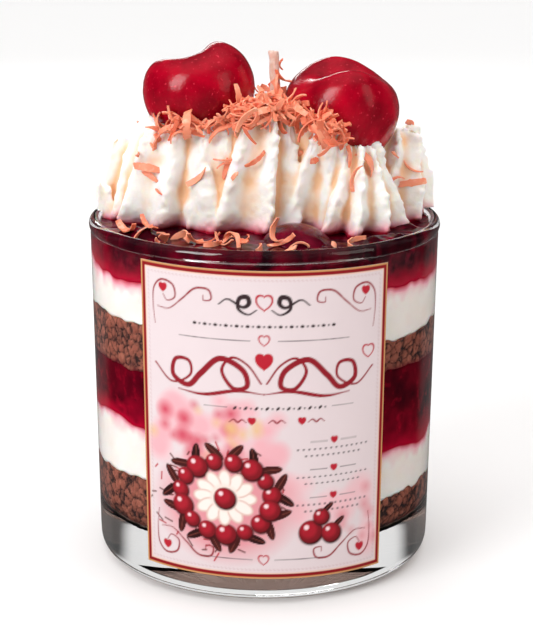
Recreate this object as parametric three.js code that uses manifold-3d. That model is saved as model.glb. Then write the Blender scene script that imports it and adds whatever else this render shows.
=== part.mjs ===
// A layered dessert candle in a straight glass tumbler. Crumb, cream and jelly
// layers of wax fill the glass; piped cream drops, two whole cherries, a wick
// and shaved curls stand on top, and a third cherry is half sunk in the jelly.
//
// Millimetres, +Z up. The origin is the middle of the foot. The label and the
// open crescent of jelly face -Y, and +X is to the right seen from there.

import * as THREE from 'three';
import { mergeVertices } from 'three/addons/utils/BufferGeometryUtils.js';
import Module from 'manifold-3d';

const wasm = await Module();
wasm.setup();

// ---------------------------------------------------------------- dimensions

const SIDES = 48; // facets round the glass, shared by all that fits it
const GAP = 0.3; // between two pieces that rest on each other

const glassDims = {
  height: 80,
  footRadius: 39, // outer radius at the foot
  topRadius: 40, // outer radius under the rim bead
  heelRadius: 4,
  wall: 2.6,
  baseThickness: 12.4,
  cornerRadius: 5, // inside, between wall and base
  beadRadius: 40.3,
  beadHeight: 3.2,
};

// Where two layers meet: height on the axis, rise per mm towards +X, and the
// height of the waves round the wall.
const interfaces = {
  crumbLowerTop: { height: 22.3, tilt: -0.07, wave: 0.9 },
  creamLowerTop: { height: 34.2, tilt: -0.1, wave: 1.1 },
  jellyLowerTop: { height: 49.9, tilt: 0, wave: 0.5 },
  crumbUpperTop: { height: 59.3, tilt: -0.055, wave: 0.8 },
  creamUpperTop: { height: 70.4, tilt: -0.025, wave: 0.9 },
};
const JELLY_TOP = 78.6;
const SKY = 130; // a height above everything

const labelDims = {
  low: 6.2,
  high: 75.9,
  facets: 11, // of the SIDES facets of the glass
  tilt: -0.012,
  clearance: 0.2,
  thickness: 0.16,
};

// Each piped drop: middle of its foot, foot radius, where its tip leans to and
// how high, how broad its crown stays (0 cone, 1 barrel), how many ridges the
// nozzle cut, the direction of the first one, how deep the grooves are where
// they are shallow, and the facets for each ridge. The first is the mound in
// the middle; the others go round it from the front, with small lobes between.
const drops = [
  { foot: [-1.2, 6.6], radius: 15, tip: [0, 0.3, 107.4], crown: 0, ridges: 9, turn: 0.2, steps: 2 },
  { foot: [-3.4, -4.4], radius: 13, tip: [-0.8, -4.8, 105], crown: 0.45, ridges: 8, turn: -1.45, steps: 3 },
  {
    foot: [-12.5, -3.4], radius: 9.5, tip: [-12.2, -6.4, 101.8], crown: 0.6, ridges: 6, turn: -1.2,
    depth: 0.2, steps: 3,
  },
  {
    foot: [-12, -11.6], radius: 3.5, tip: [-14.6, -9.4, 92.6], crown: 1, ridges: 3, turn: -1.5,
    depth: 0.15, steps: 3,
  },
  { foot: [12, -2.6], radius: 11, tip: [15.4, -8.2, 104], crown: 0.35, ridges: 7, turn: -2.4, steps: 3 },
  {
    foot: [7.4, -7], radius: 3, tip: [11.4, -9.6, 93.5], crown: 1, ridges: 3, turn: -2.2,
    depth: 0.2, steps: 3,
  },
  { foot: [19.8, -5.2], radius: 13.6, tip: [19.6, -6.6, 97.8], crown: 0, ridges: 10, turn: -1.6, steps: 3 },
  { foot: [27.5, 8], radius: 12.8, tip: [30.2, 8.2, 98.8], crown: 0.4, ridges: 9, turn: -0.3, steps: 3 },
  { foot: [17.6, 20.4], radius: 12, tip: [17, 19, 99.5], crown: 0.5, ridges: 8, turn: 0.9, steps: 2 },
  { foot: [0.5, 26.2], radius: 12.2, tip: [0.5, 24, 100.5], crown: 0.5, ridges: 9, turn: 1.5, steps: 2 },
  { foot: [-17, 20.4], radius: 12, tip: [-15, 19, 99.6], crown: 0.5, ridges: 8, turn: 1.9, steps: 2 },
  { foot: [-27.3, 9.4], radius: 12.6, tip: [-29, 8, 96.8], crown: 0.7, ridges: 9, turn: 3.4, steps: 3 },
  {
    foot: [-21.2, 2.4], radius: 13.8, tip: [-19, -1.8, 101.6], crown: 0.8, ridges: 8, turn: -1.9,
    depth: 0.18, steps: 3,
  },
  { foot: [-36.6, 2], radius: 3, tip: [-37.6, 2, 86], crown: 0.9, ridges: 4, turn: 2.2, steps: 2 },
];
const dropForm = {
  sunk: 1.5, // how deep a foot would reach into the jelly, where it is cut off
  grooveDepth: 0.35, // as a share of the drop's radius, unless the drop has its own
  ridgeRound: 0.5, // 0 for a knife edge, 1 for a round wave
  toeReach: 0.1, // how far a ridge swells just above its foot, as the same share
  hornRise: 2.8, // how far a ridge can stand up where it ends at the crown
  twist: 0.45, // turn of the ridges from foot to tip
  rings: 8,
};

// Cherries: centre, half width, the way the stem hollow faces, the turn of the
// seam about that way, and how much the two shoulders and one of them rise.
// The sunk one is a half, cut side down in the jelly.
const cherryDims = {
  left: {
    centre: [-14.5, 1.5, 107], radius: 12.3, axis: [-0.4, 0.33, 1], spin: 0.24,
    shoulders: 0.1, uneven: 0,
  },
  right: {
    centre: [17.4, 3.9, 102.4], radius: 14, axis: [0.06, -0.25, 1], spin: 1.75,
    shoulders: 0.12, uneven: -0.09,
  },
  sunk: {
    centre: [7.2, -20.6, 73.2], radius: 9.6, axis: [0.3, 0.8, -0.6], spin: 0,
    shoulders: 0.08, uneven: 0, cutAt: 72.4,
  },
};
const cherryForm = { height: 0.93, taper: 0.14, flatness: 0.95, hollowDepth: 0.37, hollowWidth: 0.38 };

const wickDims = { x: 2.3, radius: 1.15, foot: 98, top: 117, lean: 0.4 };

// Shaved curls: ribbon section, and the range of lengths and of curl radii.
const curlDims = { width: 1.8, thickness: 0.5, length: [4.5, 9], bend: [2.2, 5.5], sink: 0.45 };

// The curls at the front are aimed from where the candle is looked at, each at
// an (x, height) in the plane y = crestY, and lie on what is met first.
const viewer = [0, -387, 160];
const crestY = -8;

// Arms of the heap: round the wick, and in front of the left and right cherries.
const heaps = [
  { from: [-4.5, 104.5], to: [7.5, 106.5], spread: [1.2, 2.4], curls: 18 },
  { from: [-21.5, 101.8], to: [-3.5, 105.5], spread: [1, 1.5], curls: 17 },
  { from: [6.5, 106], to: [16, 99.8], spread: [1, 1.5], curls: 12 },
];

// Curls that lie apart on the front of the cream, by (x, height).
const creamCurls = [
  [-24.3, 100.5], [-26, 92], [-25.4, 90.2], [-14.6, 89.7], [-9, 93.1], [-2, 93.5],
  [8, 95.3], [16.1, 97.5], [22.4, 93.2], [20.8, 90], [29.1, 89.8], [32.8, 88.6],
];
const backCurls = { count: 10, nearest: 12, furthest: 34 };

// Curls on the open crescent of jelly, by (x, y), and on the wick, by height.
const jellyCurls = [
  [-30.1, -17.7], [-25.7, -18.7], [-21.1, -22.8], [-16.9, -20.9], [-13, -23.9],
  [-9.3, -25.9], [-6.3, -25], [-0.7, -29.9], [2.1, -24.1], [7.5, -28.2],
  [18.7, -25.4], [-15.2, -25.2], [4, -26.6], [-27.4, -20.6],
];
const wickCurls = [109.5, 112.5, 115];

// ------------------------------------------------------------------- helpers

function randomStream(seed) {
  let state = seed;
  return () => {
    state = (state * 1664525 + 1013904223) % 4294967296;
    return state / 4294967296;
  };
}

function between(draw, [low, high]) {
  return low + (high - low) * draw();
}

// Merge shared vertices, drop slivers and turn the faces outwards.
function closed(geometry) {
  const bare = geometry.clone();
  bare.deleteAttribute('normal');
  bare.deleteAttribute('uv');
  const merged = mergeVertices(bare, 1e-4);
  const index = merged.index.array;
  const at = merged.attributes.position;
  const kept = [];
  const a = new THREE.Vector3();
  const b = new THREE.Vector3();
  const c = new THREE.Vector3();
  let volume = 0;
  for (let i = 0; i < index.length; i += 3) {
    const [p, q, r] = [index[i], index[i + 1], index[i + 2]];
    if (p === q || q === r || r === p) continue;
    a.fromBufferAttribute(at, p);
    b.fromBufferAttribute(at, q);
    c.fromBufferAttribute(at, r);
    volume += a.dot(b.cross(c));
    kept.push(p, q, r);
  }
  if (volume < 0) kept.reverse();
  merged.setIndex(kept);
  return merged;
}

function solidFrom(geometry) {
  const shape = closed(geometry);
  return new wasm.Manifold(new wasm.Mesh({
    numProp: 3,
    vertProperties: new Float32Array(shape.attributes.position.array),
    triVerts: new Uint32Array(shape.index.array),
  }));
}

function geometryFrom(solid) {
  const mesh = solid.getMesh();
  const geometry = new THREE.BufferGeometry();
  geometry.setAttribute('position', new THREE.BufferAttribute(mesh.vertProperties, 3));
  geometry.setIndex(new THREE.BufferAttribute(mesh.triVerts, 1));
  return geometry;
}

// The one body that matters; crumbs cut loose by a boolean are dropped.
function largestPiece(solid) {
  const pieces = solid.decompose();
  return pieces.reduce((best, piece) => (piece.volume() > best.volume() ? piece : best));
}

function joined(geometries) {
  return geometries.map(solidFrom).reduce((whole, piece) => whole.add(piece));
}

// Revolve (radius, height) points about Z.
function turned(points, sides = SIDES) {
  const profile = points.map(([radius, height]) => new THREE.Vector2(radius, height));
  return new THREE.LatheGeometry(profile, sides).rotateX(Math.PI / 2);
}

// Points of a round corner, from one angle to another.
function arc(centreRadius, centreHeight, radius, from, to, steps) {
  return Array.from({ length: steps + 1 }, (_, i) => {
    const angle = from + ((to - from) * i) / steps;
    return [centreRadius + radius * Math.cos(angle), centreHeight + radius * Math.sin(angle)];
  });
}

function moveVertices(geometry, rule) {
  const at = geometry.attributes.position;
  const point = new THREE.Vector3();
  for (let i = 0; i < at.count; i += 1) {
    point.fromBufferAttribute(at, i);
    rule(point);
    at.setXYZ(i, point.x, point.y, point.z);
  }
  return geometry;
}

// --------------------------------------------------------------------- glass

function outerRadius(height) {
  const { footRadius, topRadius, height: tall } = glassDims;
  return footRadius + ((topRadius - footRadius) * height) / tall;
}

function innerRadius(height) {
  return outerRadius(height) - glassDims.wall;
}

function makeGlass() {
  const g = glassDims;
  const half = g.beadHeight / 2;
  const beadMiddle = g.height - half;
  const inner = innerRadius(beadMiddle) + 0.2;
  const lipMiddle = (g.beadRadius + inner) / 2;
  const cornerMiddle = innerRadius(g.baseThickness) - g.cornerRadius;
  const lipWidth = (g.beadRadius - inner) / 2;
  const lip = arc(0, 0, 1, -Math.PI / 2, Math.PI * 1.5, 8)
    .slice(1, -1)
    .map(([across, up]) => [lipMiddle + lipWidth * across, beadMiddle + half * up]);
  return turned([
    [0, 0],
    ...arc(outerRadius(0) - g.heelRadius, g.heelRadius, g.heelRadius, -Math.PI / 2, 0, 3),
    [outerRadius(beadMiddle - half), beadMiddle - half - 0.2],
    ...lip,
    [innerRadius(beadMiddle - half), beadMiddle - half - 0.6],
    ...arc(cornerMiddle, g.baseThickness + g.cornerRadius, g.cornerRadius, 0, -Math.PI / 2, 3),
    [0, g.baseThickness],
  ]);
}

// -------------------------------------------------------------------- layers

function interfaceHeight(edge, x, y) {
  const angle = Math.atan2(x, -y);
  const share = Math.hypot(x, y) / innerRadius(edge.height);
  const phase = edge.height;
  const waves = Math.sin(3 * angle + phase)
    + 0.6 * Math.sin(7 * angle + 2.3 * phase)
    + 0.35 * Math.sin(13 * angle + 4.1 * phase);
  return edge.height + edge.tilt * x + 0.6 * edge.wave * waves * share;
}

// A layer between two interfaces; `low` or `high` may also be a plain height.
function makeLayer(low, high, wallPoints = null) {
  const heightOf = (edge, x, y) => (typeof edge === 'number' ? edge : interfaceHeight(edge, x, y));
  const middle = (heightOf(low, 0, 0) + heightOf(high, 0, 0)) / 2;
  const radius = innerRadius(middle) - GAP;
  const bottom = heightOf(low, 0, 0);
  const top = heightOf(high, 0, 0);
  const wall = wallPoints ?? [[radius, bottom]];
  const geometry = turned([[0, bottom], ...wall, [radius, top], [0, top]]);
  return moveVertices(geometry, (point) => {
    if (Math.abs(point.z - top) < 1e-3) point.z = heightOf(high, point.x, point.y) - GAP / 2;
    else if (Math.abs(point.z - bottom) < 1e-3) point.z = heightOf(low, point.x, point.y) + GAP / 2;
  });
}

// The lowest layer fills the round corner of the glass.
function makeLowestLayer() {
  const g = glassDims;
  const corner = g.cornerRadius - GAP;
  const middle = innerRadius(g.baseThickness) - g.cornerRadius;
  const wall = arc(middle, g.baseThickness + g.cornerRadius, corner, -Math.PI / 2, 0, 3);
  wall[0][1] = g.baseThickness;
  return makeLayer(g.baseThickness, interfaces.crumbLowerTop, wall);
}

// ------------------------------------------------------------------ cherries

// A cherry about its own stem axis (+Z): broad shoulders, a narrower blossom
// end, a deep stem hollow, and a seam that splits the shoulders in two.
function cherryPoint({ radius, shoulders, uneven }, point) {
  const form = cherryForm;
  const up = point.z;
  const around = Math.atan2(point.y, point.x);
  const side = Math.hypot(point.x, point.y);
  const seam = Math.cos(2 * around);
  const width = side * (1 + form.taper * up + 0.03 * seam);
  const rise = (shoulders * seam + uneven * Math.cos(around)) * Math.sin(Math.PI * side);
  const hollow = form.hollowDepth * Math.exp(-((side / form.hollowWidth) ** 2));
  point.x = radius * width * Math.cos(around);
  point.y = radius * width * Math.sin(around) * form.flatness;
  point.z = radius * (form.height * up + (up > 0 ? rise - hollow : 0));
}

function makeCherry(dims, grow = 0) {
  const geometry = new THREE.SphereGeometry(1, 20, 12).rotateX(Math.PI / 2);
  moveVertices(geometry, (point) => cherryPoint({ ...dims, radius: dims.radius + grow }, point));
  const towards = new THREE.Vector3(...dims.axis).normalize();
  const turn = new THREE.Quaternion().setFromUnitVectors(new THREE.Vector3(0, 0, 1), towards);
  geometry.rotateZ(dims.spin).applyQuaternion(turn).translate(...dims.centre);
  if (dims.cutAt === undefined) return geometry;
  const [x, y] = dims.centre;
  const side = 4 * dims.radius;
  const above = new THREE.BoxGeometry(side, side, side).translate(x, y, dims.cutAt - grow + side / 2);
  return geometryFrom(solidFrom(geometry).intersect(solidFrom(above)));
}

// --------------------------------------------------------------------- cream

// Share of the foot radius that a drop has at each share of its height.
const conicalProfile = profileCurve([
  [0.76, 0], [0.93, 0.07], [1, 0.17], [0.93, 0.36], [0.77, 0.56], [0.54, 0.75], [0.27, 0.91], [0, 1],
]);
const barrelProfile = profileCurve([
  [0.76, 0], [0.93, 0.07], [1, 0.18], [0.93, 0.45], [0.86, 0.65], [0.76, 0.83], [0.5, 0.95], [0, 1],
]);

function profileCurve(points) {
  return new THREE.CatmullRomCurve3(points.map(([across, up]) => new THREE.Vector3(across, up, 0)));
}

// A bump of height 1, at its middle value and of the given half width.
function bump(value, middle, width) {
  return Math.exp(-(((value - middle) / width) ** 2));
}

// 1 on a ridge's crest and 0 in the groove beside it; `shift` moves the crest
// off the middle.
function ridgeHeight(lap, shift) {
  const round = dropForm.ridgeRound;
  const middle = lap - Math.round(lap);
  const across = middle - shift * (1 - 4 * middle * middle);
  const bend = (slope) => (slope + round * round) ** 0.47 - round ** 0.94;
  return 1 - bend(Math.sin(Math.PI * across) ** 2) / bend(1);
}

// One star-nozzle drop: a sphere's grid, its rings set to the profile and cut
// by grooves. Each ridge ends in a horn at the crown.
function makeDrop({ foot, radius, tip, crown, ridges, turn, steps, depth = dropForm.grooveDepth }) {
  const { rings, sunk, toeReach, hornRise, twist } = dropForm;
  const base = JELLY_TOP - sunk;
  const draw = randomStream(ridges * 97 + Math.round(foot[0] * 10) + 500);
  const drawForRidges = (low, high) => Array.from({ length: ridges }, () => between(draw, [low, high]));
  const horns = drawForRidges(0.2 * hornRise, hornRise);
  const strengths = drawForRidges(0.72, 1.14);
  const shifts = drawForRidges(-0.16, 0.16);
  const geometry = new THREE.SphereGeometry(1, ridges * steps, rings).rotateX(Math.PI / 2);
  return moveVertices(geometry, (point) => {
    const ring = Math.round((Math.acos(THREE.MathUtils.clamp(-point.z, -1, 1)) / Math.PI) * rings);
    if (ring === 0) {
      point.set(foot[0], foot[1], JELLY_TOP + GAP);
      return;
    }
    const share = (ring - 1) / (rings - 1);
    const profile = conicalProfile.getPoint(share).lerp(barrelProfile.getPoint(share), crown);
    const around = Math.atan2(point.y, point.x);
    const lap = (around * ridges) / (2 * Math.PI);
    const number = (Math.round(lap) + ridges) % ridges;
    const ridge = ridgeHeight(lap, shifts[number]);
    const groove = depth * (1 - 0.45 * share ** 1.5) * (1 - strengths[number] * ridge);
    const toe = toeReach * ridge * bump(share, 0.16, 0.12);
    const horn = horns[number] * ridge * bump(share, 0.8, 0.11);
    const reach = radius * profile.x * (1 - groove + toe) + 0.35 * horn;
    const heading = around + turn + twist * share;
    const lean = share ** 1.6;
    point.x = foot[0] + (tip[0] - foot[0]) * lean + reach * Math.cos(heading);
    point.y = foot[1] + (tip[1] - foot[1]) * lean + reach * Math.sin(heading);
    point.z = Math.max(JELLY_TOP + GAP, base + (tip[2] - base) * profile.y + horn);
  });
}

// -------------------------------------------------------------- shaved curls

// A ribbon bent into an arc, thin at both ends, with its back on the ground.
function makeCurl({ length, bend, pitch }, thickness = curlDims.thickness) {
  const geometry = new THREE.BoxGeometry(length, curlDims.width, thickness, 3, 1, 1);
  return moveVertices(geometry, (point) => {
    const along = point.x / (length / 2);
    const taper = 1 - 0.5 * along * along;
    const angle = point.x / bend;
    const radius = bend + point.z * taper;
    point.y = point.y * taper + pitch * along;
    point.x = radius * Math.sin(angle);
    point.z = radius * Math.cos(angle) - bend;
  });
}

function meshOf(geometry) {
  return new THREE.Mesh(geometry, new THREE.MeshBasicMaterial({ side: THREE.DoubleSide }));
}

// Where a ray from `from` along `way` first meets one of the meshes.
function surfaceHit(meshes, from, way) {
  const ray = new THREE.Raycaster(new THREE.Vector3(...from), new THREE.Vector3(...way).normalize());
  return ray.intersectObjects(meshes, false)[0];
}

// Lay a curl on a surface: on its side, arched over it or cradled on it.
function layCurl(hit, draw) {
  const curl = {
    length: between(draw, curlDims.length),
    bend: between(draw, curlDims.bend),
    pitch: between(draw, [-0.8, 0.8]),
  };
  const roll = Math.floor(between(draw, [0, 4])) * (Math.PI / 2) + between(draw, [-0.35, 0.35]);
  const heading = between(draw, [0, 2 * Math.PI]);
  const pose = new THREE.Matrix4().makeRotationZ(heading)
    .multiply(new THREE.Matrix4().makeRotationX(roll));
  const zAxis = new THREE.Vector3(0, 0, 1);
  const upright = new THREE.Quaternion().setFromUnitVectors(zAxis, hit.face.normal);
  const place = (geometry) => {
    geometry.applyMatrix4(pose);
    geometry.computeBoundingBox();
    geometry.translate(0, 0, -geometry.boundingBox.min.z - curlDims.sink);
    return geometry.applyQuaternion(upright).translate(...hit.point);
  };
  return { shape: place(makeCurl(curl)), room: place(makeCurl(curl, curlDims.thickness + 2 * GAP)) };
}

function clears(geometry, others) {
  const solid = solidFrom(geometry);
  return others.every((other) => solid.intersect(other).volume() < 1e-6);
}

// Lay one curl per aim on the ground, skipping any that a cherry is in the way
// of, or that would cross a neighbour. A new curl may land on an earlier one.
function strewCurls(ground, aims, neighbours, seed, inTheWay = []) {
  const draw = randomStream(seed);
  const meshes = [meshOf(ground)];
  const curls = [];
  aims.forEach(([from, way]) => {
    const hit = surfaceHit(meshes, from, way);
    const blocked = surfaceHit(inTheWay, from, way);
    if (!hit || (blocked && blocked.distance < hit.distance)) return;
    const { shape, room } = layCurl(hit, draw);
    if (!clears(room, neighbours)) return;
    curls.push(shape);
    meshes.push(meshOf(shape));
  });
  return curls;
}

function fuse(base, curls) {
  return largestPiece(curls.map(solidFrom).reduce((whole, curl) => whole.add(curl), base));
}

// ---------------------------------------------------------------------- wick

function makeWick(grow = 0) {
  const { x, radius, foot, top, lean } = wickDims;
  const path = new THREE.CatmullRomCurve3([
    new THREE.Vector3(x, 0, foot - grow),
    new THREE.Vector3(x, 0, (foot + top) / 2),
    new THREE.Vector3(x - lean, 0, top + grow * 8),
  ]);
  const section = new THREE.Shape().absarc(0, 0, radius + grow, 0, Math.PI * 2, false);
  return new THREE.ExtrudeGeometry(section, { extrudePath: path, steps: 5, curveSegments: 5 });
}

// --------------------------------------------------------------------- label

function makeLabel() {
  const { low, high, facets, tilt, clearance, thickness } = labelDims;
  const half = (Math.PI * facets) / SIDES;
  const profile = [
    [outerRadius(low) + clearance, low],
    [outerRadius(low) + clearance + thickness, low],
    [outerRadius(high) + clearance + thickness, high],
    [outerRadius(high) + clearance, high],
  ];
  const outline = new THREE.Shape(profile.map(([radius, height]) => new THREE.Vector2(radius, height)));
  const step = new THREE.ExtrudeGeometry(outline, { depth: 1, steps: facets, bevelEnabled: false });
  return moveVertices(step, (point) => {
    const angle = (point.z * 2 - 1) * half;
    const radius = point.x;
    const height = point.y;
    point.set(radius * Math.sin(angle), -radius * Math.cos(angle), height + tilt * radius * angle);
  });
}

// ------------------------------------------------------------------ assembly

const looks = {
  glass: { color: 0xe9eeee, roughness: 0.05, metalness: 0 },
  crumb: { color: 0x7a4a3e, roughness: 0.95, metalness: 0 },
  cream: { color: 0xfbf3ea, roughness: 0.6, metalness: 0 },
  jelly: { color: 0x5a0014, roughness: 0.12, metalness: 0 },
  cherry: { color: 0xa00828, roughness: 0.2, metalness: 0 },
  wick: { color: 0xe8cbbc, roughness: 0.7, metalness: 0 },
  label: { color: 0xf5eef0, roughness: 0.5, metalness: 0 },
};

const group = new THREE.Group();

function addPiece(name, geometry, look) {
  const piece = new THREE.Mesh(closed(geometry), new THREE.MeshStandardMaterial(looks[look]));
  piece.name = name;
  group.add(piece);
  return piece;
}

addPiece('glass', makeGlass(), 'glass');
addPiece('crumb_lower', makeLowestLayer(), 'crumb');
addPiece('cream_lower', makeLayer(interfaces.crumbLowerTop, interfaces.creamLowerTop), 'cream');
addPiece('jelly_lower', makeLayer(interfaces.creamLowerTop, interfaces.jellyLowerTop), 'jelly');
addPiece('crumb_upper', makeLayer(interfaces.jellyLowerTop, interfaces.crumbUpperTop), 'crumb');
addPiece('cream_upper', makeLayer(interfaces.crumbUpperTop, interfaces.creamUpperTop), 'cream');

// The room above the jelly, inside the glass and clear of its rim.
function makeRoom() {
  const { height, topRadius, wall } = glassDims;
  const inside = topRadius - wall - GAP;
  const overRim = height + GAP;
  return turned([
    [0, JELLY_TOP], [inside, JELLY_TOP], [inside, overRim],
    [topRadius, overRim], [topRadius, SKY], [0, SKY],
  ]);
}

// The room that the cherries and the wick take in what they are pressed into.
const cherryHollow = Object.fromEntries(Object.entries(cherryDims).map(
  ([name, dims]) => [name, solidFrom(makeCherry(dims, GAP))],
));
const wickHollow = solidFrom(makeWick(GAP));

const down = [0, 0, -1];

function seenAim(x, height) {
  return [viewer, [x - viewer[0], crestY - viewer[1], height - viewer[2]]];
}

function creamAims() {
  const draw = randomStream(11);
  const bell = () => draw() + draw() + draw() - 1.5;
  const apart = creamCurls.map(([x, height]) => seenAim(x, height));
  const heaped = heaps.flatMap(({ from, to, spread, curls }) => Array.from({ length: curls }, () => {
    const share = draw();
    const [x, height] = from.map((start, axis) => {
      const along = start + (to[axis] - start) * share;
      return along + 2 * spread[axis] * bell();
    });
    return seenAim(x, height);
  }));
  const back = Array.from({ length: backCurls.count }, (_, i) => {
    const angle = ((i + 0.5 + 0.6 * draw()) / backCurls.count) * Math.PI;
    const reach = between(draw, [backCurls.nearest, backCurls.furthest]);
    return [[reach * Math.cos(angle), reach * Math.sin(angle), SKY], down];
  });
  return [...apart, ...heaped, ...back];
}

const bareCream = largestPiece(joined(drops.map(makeDrop))
  .intersect(solidFrom(makeRoom()))
  .subtract(cherryHollow.left)
  .subtract(cherryHollow.right)
  .subtract(cherryHollow.sunk)
  .subtract(wickHollow));
const bareJelly = solidFrom(makeLayer(interfaces.creamUpperTop, JELLY_TOP + GAP / 2))
  .subtract(cherryHollow.sunk);
const strewnOnCream = strewCurls(
  geometryFrom(bareCream),
  creamAims(),
  [cherryHollow.left, cherryHollow.right, wickHollow, bareJelly],
  5,
  [meshOf(makeCherry(cherryDims.left)), meshOf(makeCherry(cherryDims.right))],
);
const cream = fuse(bareCream, strewnOnCream);
addPiece('cream_topping', geometryFrom(cream), 'cream');

const jellyAims = jellyCurls.map(([x, y]) => [[x, y, SKY], down]);
const glassSolid = solidFrom(makeGlass());
const jelly = fuse(
  bareJelly,
  strewCurls(geometryFrom(bareJelly), jellyAims, [cream, glassSolid, cherryHollow.sunk], 23),
);
addPiece('jelly_top', geometryFrom(jelly), 'jelly');

addPiece('cherry_left', makeCherry(cherryDims.left), 'cherry');
addPiece('cherry_right', makeCherry(cherryDims.right), 'cherry');
addPiece('cherry_sunk', makeCherry(cherryDims.sunk), 'cherry');

// A few curls cling to the right side of the wick.
const bareWick = makeWick();
const wickAims = wickCurls.map((height) => [[cherryDims.right.centre[0], 0, height], [-1, 0, 0]]);
const strewnOnWick = strewCurls(bareWick, wickAims, [cream, cherryHollow.right], 8);
addPiece('wick', geometryFrom(fuse(solidFrom(bareWick), strewnOnWick)), 'wick');
addPiece('label', makeLabel(), 'label');

export default group;
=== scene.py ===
# %% [markdown]
# # A layered dessert candle in a glass tumbler
#
# The real object is a candle that looks like a layered dessert: crumb, cream and jelly layers of
# wax in a thick glass, piped cream drops on top, two whole cherries beside the wick, one half
# sunk in the jelly, and shaved curls over everything. A printed label is wrapped round the front.
#
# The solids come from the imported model, the frame. This lesson builds the fine surface of each
# piece in the same place, so the first cell loads the frame and keeps its size.

# %% The frame and its size
import math

import bpy
import numpy as np
from mathutils import Matrix, Vector
from mathutils.bvhtree import BVHTree


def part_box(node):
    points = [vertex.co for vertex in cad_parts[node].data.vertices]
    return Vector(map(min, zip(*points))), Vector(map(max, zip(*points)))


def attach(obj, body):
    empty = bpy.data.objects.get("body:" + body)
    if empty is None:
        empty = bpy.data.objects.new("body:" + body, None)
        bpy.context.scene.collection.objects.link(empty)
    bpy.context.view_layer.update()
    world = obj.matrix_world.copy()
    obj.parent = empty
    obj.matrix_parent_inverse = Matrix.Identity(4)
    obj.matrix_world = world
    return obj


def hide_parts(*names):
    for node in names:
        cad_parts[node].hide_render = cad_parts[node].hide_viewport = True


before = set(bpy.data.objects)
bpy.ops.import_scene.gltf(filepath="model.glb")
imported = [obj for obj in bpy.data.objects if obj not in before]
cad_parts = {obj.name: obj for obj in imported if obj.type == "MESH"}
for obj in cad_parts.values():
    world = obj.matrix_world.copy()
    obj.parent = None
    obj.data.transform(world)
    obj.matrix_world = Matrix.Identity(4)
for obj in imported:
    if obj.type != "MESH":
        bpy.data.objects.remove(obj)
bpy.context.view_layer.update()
print("CAD nodes:", sorted(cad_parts))

# %% [markdown]
# ## From rows of points to a closed piece
#
# Almost every piece here is a skin over rings of points: a turned glass, a cherry, a piped drop,
# a shaved curl. Modifiers could turn or screw a profile too, but arrays of points let a formula
# move each point, so the ridges, pits and ripples are real relief that any view shows.
# Sizes are written in millimetres, and Blender gets metres.

# %% Helpers that make a piece
MM = 0.001


def skin(rings):
    """Points and faces over rings of points (ring, point, xyz), with a fan over each end."""
    count, size, _ = rings.shape
    here = np.arange(size)
    after = (here + 1) % size
    first = (np.arange(count - 1) * size)[:, None]
    sides = np.stack([first + here, first + after, first + size + after, first + size + here], -1)
    points = rings.reshape(-1, 3)
    faces = sides.reshape(-1, 4).tolist()
    last = (count - 1) * size
    foot, top = len(points), len(points) + 1
    points = np.vstack([points, rings[0].mean(0), rings[-1].mean(0)])
    faces += [[foot, b, a] for a, b in zip(here.tolist(), after.tolist())]
    faces += [[top, last + a, last + b] for a, b in zip(here.tolist(), after.tolist())]
    return points, faces


def add_piece(name, points, faces, smooth=True):
    """A mesh object from points in millimetres, its faces pointing out."""
    mesh = bpy.data.meshes.new(name)
    mesh.from_pydata((np.asarray(points, float) * MM).tolist(), [], faces)
    mesh.validate()
    volume = sum(p.center.dot(p.normal) * p.area for p in mesh.polygons)
    if volume < 0:
        mesh.flip_normals()
    mesh.polygons.foreach_set("use_smooth", [smooth] * len(mesh.polygons))
    piece = bpy.data.objects.new(name, mesh)
    bpy.context.scene.collection.objects.link(piece)
    return piece


def points_of(piece):
    """A piece's points in millimetres."""
    flat = np.zeros(len(piece.data.vertices) * 3)
    piece.data.vertices.foreach_get("co", flat)
    return flat.reshape(-1, 3) / MM


def move_points(piece, points):
    piece.data.vertices.foreach_set("co", (points * MM).ravel())
    piece.data.update()


def stand_for(piece, slot, *nodes):
    """The piece takes the place of these solids, which are hidden; the slot is not used."""
    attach(piece, "root")
    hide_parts(*nodes)
    print(piece.name, "stands for", ", ".join(nodes), "with", len(piece.data.polygons), "faces")
    return piece


def turned(profile, sides):
    """Rings made by turning (radius, height) points about the axis."""
    angle = np.linspace(0, 2 * math.pi, sides, endpoint=False)
    radius, height = np.array(profile, float).T
    rings = np.empty((len(radius), sides, 3))
    rings[..., 0] = radius[:, None] * np.cos(angle)
    rings[..., 1] = radius[:, None] * np.sin(angle)
    rings[..., 2] = height[:, None]
    return rings


def arc(centre, radius, start, end, steps):
    """(radius, height) points on a round corner, its angles in degrees."""
    angle = np.radians(np.linspace(start, end, steps + 1))
    across, up = (radius, radius) if np.isscalar(radius) else radius
    return np.stack([centre[0] + across * np.cos(angle), centre[1] + up * np.sin(angle)], -1)


# %% [markdown]
# ## Uneven on purpose
#
# Poured wax, crumb and piped cream are never even. Two kinds of unevenness do most of the work:
# smooth noise for waves and dents, and grains, a scatter of cells like crumbs packed together.
# Both are worked out from the place itself, so each run gives the same result.

# %% Noise and grains
def lattice(cell, seed):
    """A repeatable number from 0 to 1 for each whole-numbered cell."""
    x, y, z = (cell[..., axis].astype(np.int64) for axis in range(3))
    mixed = (x * 73856093) ^ (y * 19349663) ^ (z * 83492791) ^ (seed * 40503 + 977)
    mixed = ((mixed ^ (mixed >> 13)) * 1274126177) & 0x7FFFFFFF
    mixed = ((mixed ^ (mixed >> 15)) * 196314165) & 0x7FFFFFFF
    return mixed / 0x7FFFFFFF


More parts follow.
